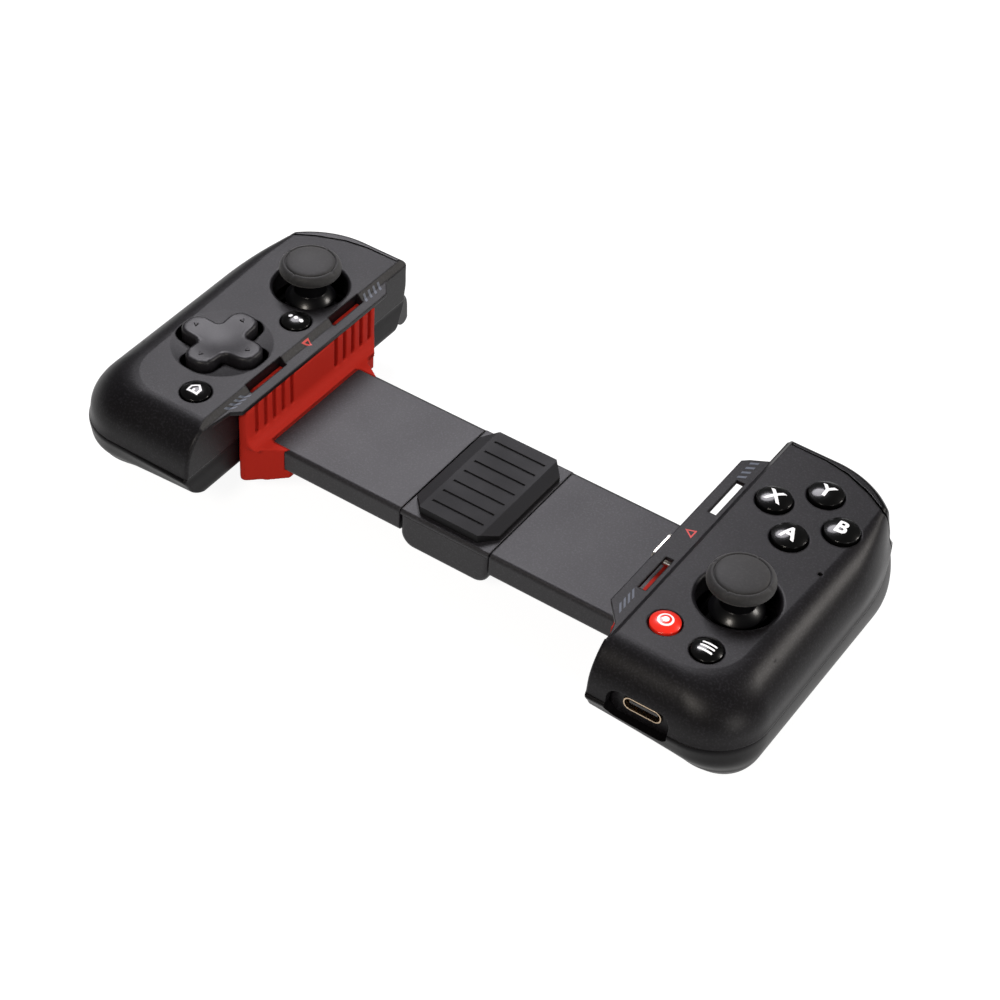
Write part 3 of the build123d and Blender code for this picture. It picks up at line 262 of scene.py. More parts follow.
@dataclass(frozen=True)
class Moulded:
    """A moulded plastic or rubber: a spark-eroded or polished skin with a fine grain."""

    name: str
    colour: str
    fleck: str
    roughness: float
    grain: Grain = Grain.SPARK
    depth: float = 0.012
    fleck_share: float = 0.5
    swing: float = 0.015
    ior: float = 1.5
    coat: float = 0.0
    coat_roughness: float = 0.05
    sheen: float = 0.0
    sheen_roughness: float = 0.6
    edge: float = 0.25
    specular: float = 0.5
    # Flecks: their size against the grain, and the part of the pattern in which they come up.
    fleck_size: float = 1.3
    fleck_range: Point = (0.5, 0.72)
    # Clouds, in which the roughness swings: their size, and the part of the pattern that counts.
    cloud_size: float = 14.0
    cloud_range: Point = (0.3, 0.7)
    # Fine ribs on a palm: pitch, the height at which they end, the band in which they fade, turn and depth.
    ribs: float = 0.0
    rib_top: float = 0.0
    rib_fade: float = 2.0
    rib_turn: float = 38.0
    rib_depth: float = 0.05

    def relief(self, tree: Tree, place: Socket) -> Socket:
        """Builds the skin's relief: rounded edges, grain, and fine ribs on a palm.

        Args:
            tree: The material's node tree.
            place: The object's coordinates.

        Returns:
            The normal that the shader takes.
        """
        rounded = add_node(tree, "ShaderNodeBevel", {"samples": 6, "Radius": self.edge * MM})
        grain = add_noise(tree, place, self.grain.value, detail=2.0, roughness=0.6)
        skin = add_bump(tree, grain, rounded.outputs[0], self.depth)
        if not self.ribs:
            return skin
        turn = (0.0, 0.0, math.radians(self.rib_turn))
        turned = add_node(tree, "ShaderNodeMapping", {"Rotation": turn}, {"Vector": place})
        # A wave of scale 1 has a pitch of 2 pi / 20.
        scale = 2 * math.pi / (20 * self.ribs * MM)
        wave = add_node(tree, "ShaderNodeTexWave",
                        {"wave_type": "BANDS", "bands_direction": "Y", "Scale": scale, "Distortion": 0.0},
                        {"Vector": turned.outputs[0]})
        height = add_node(tree, "ShaderNodeSeparateXYZ", links={0: place}).outputs["Z"]
        fade = (self.rib_top * MM, (self.rib_top - self.rib_fade) * MM)
        below = add_range(tree, height, fade, (0.0, 1.0))
        ribbed = add_node(tree, "ShaderNodeMath", {"operation": "MULTIPLY"},
                          {0: wave.outputs["Fac"], 1: below})
        return add_bump(tree, ribbed.outputs[0], skin, self.rib_depth)

    def material(self) -> bpy.types.Material:
        """Makes the material.

        Returns:
            The material, ready to be assigned.
        """
        material, tree = new_material(self.name)
        place = add_node(tree, "ShaderNodeTexCoord").outputs["Object"]
        moved = add_node(tree, "ShaderNodeMapping", {"Rotation": COLOUR_TURN}, {"Vector": place}).outputs[0]
        specks = add_noise(tree, moved, self.grain.value * self.fleck_size, detail=1.0)
        share = add_range(tree, specks, self.fleck_range, (0.0, self.fleck_share))
        tint = add_mix(tree, share, self.colour, self.fleck)
        clouds = add_noise(tree, moved, self.cloud_size, detail=3.0)
        swings = (self.roughness - self.swing, self.roughness + self.swing)
        rough = add_range(tree, clouds, self.cloud_range, swings)
        skin = self.relief(tree, place)
        shader = add_node(tree, "ShaderNodeBsdfPrincipled",
                          {"IOR": self.ior, "Coat Weight": self.coat, "Coat Roughness": self.coat_roughness,
                           "Sheen Weight": self.sheen, "Sheen Roughness": self.sheen_roughness,
                           "Specular IOR Level": self.specular},
                          {"Base Color": tint, "Roughness": rough, "Normal": skin, "Coat Normal": skin})
        finish_tree(tree, shader)
        return material


@dataclass(frozen=True)
class Metal:
    """A plated or milled metal with fine marks from its making."""

    name: str
    colour: str
    roughness: float
    mark_size: float = 0.4
    mark_stretch: Place = (0.15, 1.0, 1.0)
    depth: float = 0.006
    edge: float = 0.1
    # How much smoother and how much rougher than the whole the marks are.
    smoother: float = 0.06
    rougher: float = 0.08

    def material(self) -> bpy.types.Material:
        """Makes the material.

        Returns:
            The material, ready to be assigned.
        """
        material, tree = new_material(self.name)
        place = add_node(tree, "ShaderNodeTexCoord").outputs["Object"]
        drawn = add_node(tree, "ShaderNodeMapping", {"Scale": self.mark_stretch}, {"Vector": place})
        marks = add_noise(tree, drawn.outputs[0], self.mark_size, detail=2.0)
        swings = (self.roughness - self.smoother, self.roughness + self.rougher)
        rough = add_range(tree, marks, (0.0, 1.0), swings)
        rounded = add_node(tree, "ShaderNodeBevel", {"samples": 4, "Radius": self.edge * MM})
        skin = add_bump(tree, marks, rounded.outputs[0], self.depth)
        shader = add_node(tree, "ShaderNodeBsdfPrincipled",
                          {"Base Color": linear(self.colour), "Metallic": 1.0},
                          {"Roughness": rough, "Normal": skin})
        finish_tree(tree, shader)
        return material


@dataclass(frozen=True)
class Ink:
    """A pad-printed ink: a flat even coat, a little rougher than the plastic under it."""

    name: str
    colour: str
    worn: str
    roughness: float = 0.45
    patch_size: float = 0.6
    patch_range: Point = (0.45, 0.8)

    def material(self) -> bpy.types.Material:
        """Makes the material.

        Returns:
            The material, ready to be assigned.
        """
        material, tree = new_material(self.name)
        place = add_node(tree, "ShaderNodeTexCoord").outputs["Object"]
        patches = add_noise(tree, place, self.patch_size, detail=2.0)
        thin = add_range(tree, patches, self.patch_range, (0.0, 1.0))
        tint = add_mix(tree, thin, self.colour, self.worn)
        shader = add_node(tree, "ShaderNodeBsdfPrincipled", {"Roughness": self.roughness},
                          {"Base Color": tint})
        finish_tree(tree, shader)
        return material


class Finish(Enum):
    """Every finish on the gamepad. None has a slot's name, since the frame's own materials have those."""

    # ABS with a spark-eroded skin: a dense satin black that greys where a soft light slides over it.
    SHELL = Moulded("satin_black_abs", "#100F11", "#29282C", 0.39, depth=0.02, specular=0.16, edge=0.5)
    # The palm half is the same ABS with fine ribs that keep the hand from slipping; its colour and flecks
    # are darker than the shell's, painted shade for the lower sides.
    PALM = Moulded("ribbed_black_abs", "#0A090B", "#151417", 0.4, specular=0.09, ribs=0.45, rib_top=9.0)
    # Nylon-filled ABS of the sliding arms: greyer, with a mat skin.
    ARM = Moulded("mat_grey_nylon_abs", "#1E1D20", "#36353A", 0.44, depth=0.02, specular=0.28, edge=0.45)
    # Silicone moulded in red: an even soft skin without shine.
    RED_SILICONE = Moulded("soft_red_silicone", "#AC271D", "#B22D22", 0.68, Grain.FINE, depth=0.006,
                           fleck_share=0.4, swing=0.04, ior=1.41, edge=0.3, specular=0.1)
    # Thermoplastic rubber of the stick caps: dull charcoal with a stipple.
    CAP_RUBBER = Moulded("charcoal_stick_rubber", "#1F1F20", "#2C2C2D", 0.6, Grain.STIPPLE, depth=0.02,
                         swing=0.04, sheen=0.1, edge=0.3, specular=0.28)
    # The pad is a firm rubber with a smooth mat face.
    PAD_RUBBER = Moulded("black_pad_rubber", "#111113", "#1C1C1F", 0.56, Grain.FINE, depth=0.01,
                         fleck_share=0.4, swing=0.05, edge=0.2, specular=0.2)
    # Polished ABS under a hard clear lacquer: deep black, or red, with a sharp reflection.
    GLOSS_BLACK = Moulded("lacquered_black_abs", "#050505", "#080808", 0.24, Grain.FINE, depth=0.0004,
                          fleck_share=0.2, swing=0.02, coat=0.42, coat_roughness=0.09, edge=0.3,
                          specular=0.15)
    GLOSS_RED = Moulded("lacquered_red_abs", "#EE2C1D", "#F03425", 0.28, Grain.FINE, depth=0.0004,
                        fleck_share=0.2, swing=0.02, coat=0.6, coat_roughness=0.1, edge=0.35, specular=0.3)
    # The dome and neck of a stick are polished acetal.
    STICK_NECK = Moulded("polished_black_acetal", "#08080A", "#0E0E10", 0.3, Grain.FINE, depth=0.001,
                         fleck_share=0.2, swing=0.03, ior=1.48, coat=0.12, coat_roughness=0.12, edge=0.3,
                         specular=0.25)
    # Direction pad: satin ABS, smoother than the shell.
    CROSS = Moulded("satin_cross_abs", "#19181B", "#2C2B2F", 0.4, Grain.FINE, depth=0.008, fleck_share=0.4,
                    edge=0.35, specular=0.27)
    # Bumpers: ABS polished in the mould. Triggers: the same ABS with a satin skin.
    KEY = Moulded("gloss_key_abs", "#060607", "#0B0B0C", 0.3, Grain.FINE, depth=0.0005, fleck_share=0.3,
                  swing=0.02, coat=0.12, coat_roughness=0.12, specular=0.15)
    TRIGGER = Moulded("satin_trigger_abs", "#121113", "#201F22", 0.4, Grain.FINE, depth=0.008, specular=0.3)
    # Racks and pinion: uncoloured acetal, waxy and off-white.
    ACETAL = Moulded("natural_acetal", "#D9D6CC", "#E4E1D8", 0.4, Grain.FINE, depth=0.004, fleck_share=0.4,
                     swing=0.05, ior=1.48)
    # Inside a stick's well every part is acetal painted near black as shade, so that the well reads as a
    # dark hollow.
    BLACK_ACETAL = Moulded("black_acetal", "#050505", "#080808", 0.8, Grain.FINE, depth=0.003,
                           fleck_share=0.3, swing=0.04, ior=1.48, specular=0.05)
    # Domes under the buttons: translucent grey silicone.
    MAT_SILICONE = Moulded("grey_dome_silicone", "#8C8F91", "#9A9D9F", 0.55, Grain.FINE, depth=0.004,
                           fleck_share=0.4, swing=0.05, ior=1.41)
    # The port's tongue: glass-filled nylon, its grey lightened as a painted highlight for the light on its
    # top edge.
    TONGUE = Moulded("black_connector_nylon", "#2C2C2E", "#3A3A3C", 0.35, Grain.FINE, depth=0.003,
                     fleck_share=0.3)
    # Glass-epoxy board under a dull solder mask.
    BOARD = Moulded("green_solder_mask", "#0E3A26", "#17492F", 0.35, Grain.FINE, depth=0.006, swing=0.06,
                    ior=1.55, coat=0.3, coat_roughness=0.1)
    # Screws, pins and rails are zinc-plated steel, the connectors' shells are nickel-plated steel.
    STEEL = Metal("zinc_plated_steel", "#B9BBBD", 0.34)
    PLUG_METAL = Metal("nickel_plated_plug", "#C6C2BA", 0.22)
    PORT_METAL = Metal("warm_nickel_port", "#B8A48C", 0.25)
    # Contacts: copper alloy under a thin hard gold.
    GOLD = Metal("gold_plated_contact", "#D8A94E", 0.25)
    # Two-part inks of the printed marks.
    WHITE_INK = Ink("white_pad_print", "#F4F5F7", "#E6E8EA")
    SLATE_INK = Ink("slate_pad_print", "#3E4654", "#343B47", 0.5)
    RED_INK = Ink("red_pad_print", "#C2281C", "#A82419", 0.5)

    def make(self) -> bpy.types.Material:
        """Returns the finish's material, making it the first time."""
        return bpy.data.materials.get(self.value.name) or self.value.material()


def dress(frame: Frame, node: str, finish: Finish) -> None:
    """Gives a CAD node its finish.

    Args:
        node: The node's name.
        finish: The finish for all its faces.
    """
    piece = frame["nodes"][node]
    piece.data.materials.clear()
    piece.data.materials.append(finish.make())


def body_of_node(frame: Frame, node: str) -> str:
    """Finds the body that carries a node.

    Args:
        node: The node's name.

    Returns:
        The body's name.
    """
    holder = frame["nodes"][node].parent
    return next(body for body, empty in frame["bodies"].items() if empty == holder)


def set_down(shape: Shape, middle: Sequence[float]) -> None:
    """Turns a shape from millimetres into metres and moves it to its place.

    Args:
        shape: The shape.
        middle: Where its origin goes, in metres.
    """
    bmesh.ops.transform(shape, matrix=Matrix.Translation(middle) @ Matrix.Scale(MM, 4), verts=shape.verts)


def new_piece(name: str, shape: Shape, finish: Finish, smooth: bool = False) -> Piece:
    """Turns a bmesh into a piece at the origin.

    Args:
        name: The piece's name.
        shape: The mesh, in metres. It is freed.
        finish: Its finish.
        smooth: Whether its faces are shaded smooth.

    Returns:
        The new object.
    """
    bmesh.ops.recalc_face_normals(shape, faces=shape.faces)
    mesh = bpy.data.meshes.new(name)
    shape.to_mesh(mesh)
    shape.free()
    mesh.materials.append(finish.make())
    for polygon in mesh.polygons:
        polygon.use_smooth = smooth
    piece = bpy.data.objects.new(name, mesh)
    bpy.context.scene.collection.objects.link(piece)
    return piece


def evaluated_mesh(item: Piece) -> bpy.types.Mesh:
    """Makes a mesh of an object as it shows.

    Args:
        item: The object.

    Returns:
        The new mesh, which the caller removes.
    """
    bpy.context.view_layer.update()
    return bpy.data.meshes.new_from_object(item.evaluated_get(bpy.context.evaluated_depsgraph_get()))


def cut_grid(shape: Shape) -> None:
    """Cuts flat faces into a grid, so that they can follow a dome or a dish.

    Args:
        shape: The mesh, in millimetres about its own middle.
    """
    for axis in (0, 1):
        values = [vertex.co[axis] for vertex in shape.verts]
        first = math.ceil(min(values) / GRID_STEP)
        last = math.floor(max(values) / GRID_STEP)
        normal = Vector((1.0 - axis, float(axis), 0.0))
        for step in range(first, last + 1):
            parts = shape.verts[:] + shape.edges[:] + shape.faces[:]
            bmesh.ops.bisect_plane(shape, geom=parts, dist=ON_CUT, plane_no=normal,
                                   plane_co=normal * (step * GRID_STEP + GRID_SHIFT))


class Assembly(Protocol):
    """A sub-assembly of the scene."""

    def build(self) -> list[Piece]:
        """Dresses its nodes and returns the pieces that it adds."""


@dataclass
class SiliconeBoot:
    """The red boot of one arm: the CAD node's own form with the round edges of moulded silicone."""

    frame: Frame
    side: Side
    join_gap: float = 0.001
    voxel: float = 0.25
    passes: int = 3
    flare_y: float = 22.5
    flare_passes: int = 40

    def build(self) -> list[Piece]:
        """Remeshes the boot and smooths it, most of all past the slots, where its ends flare.

        Returns:
            The boot, standing for the CAD liner.
        """
        node = f"{self.side.word}_liner"
        source = self.frame["nodes"][node]
        weld = source.modifiers.new("join_facets", "WELD")
        weld.merge_threshold = self.join_gap * MM
        remesh = source.modifiers.new("even_facets", "REMESH")
        remesh.mode = "VOXEL"
        remesh.voxel_size = self.voxel * MM
        mesh = evaluated_mesh(source)
        source.modifiers.clear()
        shape = bmesh.new()
        shape.from_mesh(mesh)
        bpy.data.meshes.remove(mesh)
        flares = [vertex for vertex in shape.verts if abs(vertex.co.y) > self.flare_y * MM]
        for verts, passes in ((shape.verts[:], self.passes), (flares, self.flare_passes)):
            for _ in range(passes):
                bmesh.ops.smooth_vert(shape, verts=verts, factor=0.5,
                                      use_axis_x=True, use_axis_y=True, use_axis_z=True)
        boot = new_piece(f"{self.side.word}_silicone_boot", shape, Finish.RED_SILICONE, smooth=True)
        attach(boot, body_of_node(self.frame, node))
        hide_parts(node)
        return [boot]


@dataclass(frozen=True)
class Mark:
    """A printed mark: a flat outline in millimetres that is laid onto a CAD node from above."""

    name: str
    node: str
    at: Point
    turn: float
    finish: Finish
    draw: Drawing
    height: float = 2 * INK_DEPTH

    def lay(self, frame: Frame) -> Piece:
        """Builds the mark on its node.


        Returns:
            The printed piece, riding on the node's body.
        """
        shape = bmesh.new()
        self.draw(shape)
        cut_grid(shape)
        turned = Matrix.Rotation(math.radians(self.turn), 4, "Z")
        placed = Matrix.Translation((self.at[0], self.at[1], 0.0)) @ turned
        bmesh.ops.transform(shape, matrix=Matrix.Scale(MM, 4) @ placed, verts=shape.verts)
        ground = frame["nodes"][self.node]
        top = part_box(self.node)[1][2] + DROP
        down = Vector((0.0, 0.0, -1.0))
        for vertex in shape.verts:
            hit, spot, _, _ = ground.ray_cast(Vector((vertex.co.x, vertex.co.y, top)), down)
            if hit:
                vertex.co.z = spot.z - INK_DEPTH * MM
        made = bmesh.ops.extrude_face_region(shape, geom=shape.faces[:])["geom"]
        lifted = [item for item in made if isinstance(item, bmesh.types.BMVert)]
        bmesh.ops.translate(shape, verts=lifted, vec=(0.0, 0.0, self.height * MM))
        piece = new_piece(self.name, shape, self.finish)
        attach(piece, body_of_node(frame, self.node))
        return piece


def draw_polygon(shape: Shape, places: Sequence[Point]) -> None:
    """Adds one flat face.

    Args:
        shape: The mesh to add to.
        places: The face's corners in order.
    """
    shape.faces.new([shape.verts.new((x, y, 0.0)) for x, y in places])


def draw_bar(shape: Shape, middle: Point, length: float, width: float, turn: float = 0.0) -> None:
    """Adds a flat bar with rounded ends.

    Args:
        shape: The mesh to add to.
        middle: The bar's middle.
        length: Its length along its own X.
        width: Its width.
        turn: Its turn in degrees.
    """
    made = bmesh.ops.create_circle(shape, cap_ends=True, radius=width / 2, segments=16)["verts"]
    for vertex in made:
        vertex.co.x += math.copysign((length - width) / 2, vertex.co.x)
    matrix = Matrix.Translation((*middle, 0.0)) @ Matrix.Rotation(math.radians(turn), 4, "Z")
    bmesh.ops.transform(shape, matrix=matrix, verts=made)


def draw_outline(shape: Shape, places: Sequence[Point], line: float) -> None:
    """Adds a closed line of even width just inside a convex outline.

    Args:
        shape: The mesh to add to.
        places: The outline's corners in order.
        line: The line's width.
    """
    outer = [Vector((x, y, 0.0)) for x, y in places]
    inner = []
    for number, corner in enumerate(outer):
        before = (outer[number - 1] - corner).normalized()
        after = (outer[(number + 1) % len(outer)] - corner).normalized()
        halfway = (before + after).normalized()
        inner.append(corner + halfway * line / before.cross(halfway).length)
    edges = []
    for loop in (outer, inner):
        made = [shape.verts.new(corner) for corner in loop]
        edges += [shape.edges.new((made[i - 1], made[i])) for i in range(len(made))]
    bmesh.ops.bridge_loops(shape, edges=edges)


def draw_dots(shape: Shape, pitch: float = 1.5, radius: float = 0.5) -> None:
    """Adds the three dots of the view button.

    Args:
        shape: The mesh to add to.
        pitch: From one dot's middle to the next one's.
        radius: A dot's radius.
    """
    for number in (-1, 0, 1):
        made = bmesh.ops.create_circle(shape, cap_ends=True, radius=radius, segments=20)["verts"]
        bmesh.ops.translate(shape, vec=(number * pitch, 0.0, 0.0), verts=made)


def draw_bars(shape: Shape, pitch: float = 1.05, length: float = 3.4, width: float = 0.5) -> None:
    """Adds the three bars of the menu button.

    Args:
        shape: The mesh to add to.
        pitch: From one bar's middle to the next one's.
        length: A bar's length.
        width: A bar's width.
    """
    for number in (-1, 0, 1):
        draw_bar(shape, (0.0, number * pitch), length, width)


def draw_house(shape: Shape) -> None:
    """Adds the house of the home button: a plain outline with a doorway.

    Args:
        shape: The mesh to add to.
    """
    draw_outline(shape, HOUSE, HOUSE_LINE)
    draw_bar(shape, DOOR_MIDDLE, DOOR_HEIGHT, DOOR_WIDTH, 90.0)


def draw_record(shape: Shape, ring: Point = (1.3, 1.75), dot: float = 0.75) -> None:
    """Adds a plain ring with a dot, the common sign for recording.

    Args:
        shape: The mesh to add to.
        ring: The ring's inner and outer radius.
        dot: The dot's radius.
    """
    inside, outside = ring
    outer = bmesh.ops.create_circle(shape, radius=outside, segments=40)["verts"]
    inner = bmesh.ops.create_circle(shape, radius=inside, segments=40)["verts"]
    rims = {edge for vertex in outer + inner for edge in vertex.link_edges}
    bmesh.ops.bridge_loops(shape, edges=list(rims))
    bmesh.ops.create_circle(shape, cap_ends=True, radius=dot, segments=28)


def draw_arrow(shape: Shape) -> None:
    """Adds the small arrow head on one arm of the cross.

    Args:
        shape: The mesh to add to.
    """
    draw_polygon(shape, ARROW)


def triangle_drawer(places: Sequence[Point], line: float) -> Drawing:
    """Makes a function that draws the outline of a triangle.

    Args:
        places: The corner nearest the phone, and the two outer ones.
        line: The width of the printed line in millimetres.

    Returns:
        A function that adds the outline to a mesh.
    """
    def draw(shape: Shape) -> None:
        """Adds the outline."""
        draw_outline(shape, places, line)
    return draw


def stripe_drawer(sign: int, slant: Place) -> Drawing:
    """Makes a function that draws one slanted stripe of a lip's row.

    Args:
        sign: The side's sign, which mirrors the slant.
        slant: Half the stripe's length across the lip, half its rise and half its thickness along the lip.

    Returns:
        A function that adds the stripe to a mesh.
    """
    def draw(shape: Shape) -> None:
        """Adds the stripe."""
        run, rise, thick = slant
        places = [(-run, -rise - thick), (run, rise - thick), (run, rise + thick), (-run, -rise + thick)]
        draw_polygon(shape, [(sign * x, y) for x, y in places])
    return draw


def letter_drawer(letter: str, height: float) -> Drawing:
    """Makes a function that draws one plain capital in the built-in face.

    Args:
        letter: The capital.
        height: Its height in millimetres.

    Returns:
        A function that adds the capital to a mesh, centred.
    """
    def draw(shape: Shape) -> None:
        """Adds the capital."""
        curve = bpy.data.curves.new("capital", "FONT")
        curve.body = letter
        curve.offset = CAPITAL_BOLDNESS
        curve.resolution_u = 3
        holder = bpy.data.objects.new("capital", curve)
        bpy.context.scene.collection.objects.link(holder)
        mesh = evaluated_mesh(holder)
        shape.from_mesh(mesh)
        bpy.data.objects.remove(holder)
        bpy.data.curves.remove(curve)
        bpy.data.meshes.remove(mesh)
        bmesh.ops.remove_doubles(shape, verts=shape.verts[:], dist=SAME_POINT)
        lows = [min(vertex.co[axis] for vertex in shape.verts) for axis in (0, 1)]
        highs = [max(vertex.co[axis] for vertex in shape.verts) for axis in (0, 1)]
        bmesh.ops.translate(shape, verts=shape.verts[:],
                            vec=(-(lows[0] + highs[0]) / 2, -(lows[1] + highs[1]) / 2, 0.0))
        size = height / (highs[1] - lows[1])
        bmesh.ops.scale(shape, verts=shape.verts[:], vec=(size, size, 1.0))
    return draw


@dataclass
class ButtonCluster:
    """The eight round buttons with their printed marks."""

    frame: Frame
    letters: Mapping[str, Point] = field(default_factory=lambda: {
        "a": (67.5, 10.75), "b": (75.65, 18.95), "x": (59.35, 18.95), "y": (67.5, 27.1)})
    letter_height: float = 3.7
    view_at: Point = (-58.3, 4.8)
    home_at: Point = (-60.4, -28.3)
    menu_at: Point = (70.3, -27.8)
    record_at: Point = (59.6, -26.2)

    def build(self) -> list[Piece]:
        """Dresses the caps and prints their marks.

        Returns:
            The printed pieces.
        """
        marks = []
        for letter, at in self.letters.items():
            node = f"button_{letter}"
            dress(self.frame, node, Finish.GLOSS_BLACK)
            marks.append(Mark(f"print_{letter}", node, at, 0.0, Finish.WHITE_INK,
                              letter_drawer(letter.upper(), self.letter_height)))
        small = [("view_button", self.view_at, draw_dots), ("home_button", self.home_at, draw_house),
                 ("menu_button", self.menu_at, draw_bars), ("record_button", self.record_at, draw_record)]
        for node, at, draw in small:
            dress(self.frame, node, Finish.GLOSS_RED if node == "record_button" else Finish.GLOSS_BLACK)
            marks.append(Mark(f"print_{node}", node, at, 0.0, Finish.WHITE_INK, draw))
        return [mark.lay(self.frame) for mark in marks]


@dataclass
class Grip:
    """One grip: shells, insides, and the marks printed on its lip."""

    frame: Frame
    side: Side
    near_rows: Sequence[float] = (-26.8, -25.15, -23.5, -21.85)
    far_rows: Sequence[float] = (22.7, 24.5, 26.3, 28.1)
    near_slant: Place = (0.7, -1.15, 0.42)
    far_slant: Place = (0.85, 0.5, 0.36)
    stripe_x: Mapping[Side, float] = field(default_factory=lambda: {Side.LEFT: 51.8, Side.RIGHT: 49.4})
    triangle: Mapping[Side, Sequence[Point]] = field(default_factory=lambda: {
        Side.LEFT: ((-51.1, 1.6), (-52.8, -0.3), (-52.8, 2.2)),
        Side.RIGHT: ((48.0, 1.2), (50.4, -0.6), (50.4, 2.1))})
    triangle_line: float = 0.32

    def dress_nodes(self) -> None:
        """Gives every CAD node of the grip its finish."""
        # The lower shell takes the shell's ABS in a darker colour, painted shade.
        finishes = {"upper_shell": Finish.SHELL, "lower_shell": Finish.PALM, "arm": Finish.ARM,
                    "rack": Finish.ACETAL, "circuit_board": Finish.BOARD, "shell_screws": Finish.STEEL,
                    # The stick module is near-black acetal, painted shade in the well.
                    "arm_screws": Finish.STEEL, "stick_module": Finish.BLACK_ACETAL,
                    "trigger_pin": Finish.STEEL, "bumper": Finish.KEY, "trigger": Finish.TRIGGER}
        for part, finish in finishes.items():
            dress(self.frame, f"{self.side.word}_{part}", finish)

    def build(self) -> list[Piece]:
        """Dresses the grip and prints its lip.

        Returns:
            The printed pieces.
        """
        self.dress_nodes()
        word, sign = self.side.word, self.side.value
        shell = f"{word}_upper_shell"
        across = sign * self.stripe_x[self.side]
        marks = []
        ends = {"near": (self.near_rows, self.near_slant), "far": (self.far_rows, self.far_slant)}
        for end, (rows, slant) in ends.items():
            for number, row in enumerate(rows, 1):
                marks.append(Mark(f"{word}_stripe_{end}_{number}", shell, (across, row), 0.0,
                                  Finish.SLATE_INK, stripe_drawer(sign, slant)))
        marks.append(Mark(f"{word}_triangle", shell, (0.0, 0.0), 0.0, Finish.RED_INK,
                          triangle_drawer(self.triangle[self.side], self.triangle_line)))
        return [mark.lay(self.frame) for mark in marks]


@dataclass
class ThumbStick:
    """One thumb stick: a crowned rubber cap with a groove and four notches, on a polished neck."""

    frame: Frame
    side: Side
    # Half of the cap's section: each place is a radius and a depth below the crown, in millimetres.
    section: Sequence[Point] = (
        (0.0, 0.0), (1.8, 0.02), (3.6, 0.14), (4.9, 0.34), (5.5, 0.5), (5.68, 0.62), (5.74, 0.95),
        (5.98, 0.95), (6.04, 0.6), (6.25, 0.62), (6.65, 0.85), (7.0, 1.25), (7.22, 1.75), (7.3, 2.25),
        (7.22, 2.7), (6.95, 3.1), (6.4, 3.4), (5.5, 3.55), (4.2, 3.6), (0.0, 3.6))
    steps: int = 96
    # The notches lie on the axes: their radii, half their width, how deep the cap's face reaches there, and
    # their depth.
    notch_band: Point = (6.0, 6.8)
    notch_half_width: float = 0.05
    face_depth: float = 1.0
    notch_depth: float = 0.4

    def build_cap(self) -> Piece:
        """Spins the cap's section and sinks its notches.

        Returns:
            The cap, standing for the CAD cap.
        """
        node = f"{self.side.word}_stick_cap"
        low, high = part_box(node)
        shape = bmesh.new()
        line = [shape.verts.new((radius, 0.0, -depth)) for radius, depth in self.section]
        edges = [shape.edges.new(pair) for pair in zip(line, line[1:])]
        bmesh.ops.spin(shape, geom=line + edges, cent=(0, 0, 0), axis=(0, 0, 1), angle=2 * math.pi,
                       steps=self.steps, use_merge=True)
        bmesh.ops.remove_doubles(shape, verts=shape.verts[:], dist=SAME_POINT)
        inner, outer = self.notch_band
        sunk = [vertex for vertex in shape.verts
                if inner < math.hypot(vertex.co.x, vertex.co.y) < outer and vertex.co.z > -self.face_depth
                and min(abs(vertex.co.x), abs(vertex.co.y)) < self.notch_half_width]
        bmesh.ops.translate(shape, verts=sunk, vec=(0.0, 0.0, -self.notch_depth))
        set_down(shape, ((low[0] + high[0]) / 2, (low[1] + high[1]) / 2, high[2]))
        cap = new_piece(f"{self.side.word}_crowned_cap", shape, Finish.CAP_RUBBER, smooth=True)
        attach(cap, body_of_node(self.frame, node))
        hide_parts(node)
        return cap

    def build(self) -> list[Piece]:
        """Dresses the stick.

        Returns:
            The cap.
        """
        word = self.side.word
        # The yoke is near-black acetal, painted shade in the stick's well.
        dress(self.frame, f"{word}_stick_yoke", Finish.BLACK_ACETAL)
        dress(self.frame, f"{word}_stick_stem", Finish.STICK_NECK)
        return [self.build_cap()]


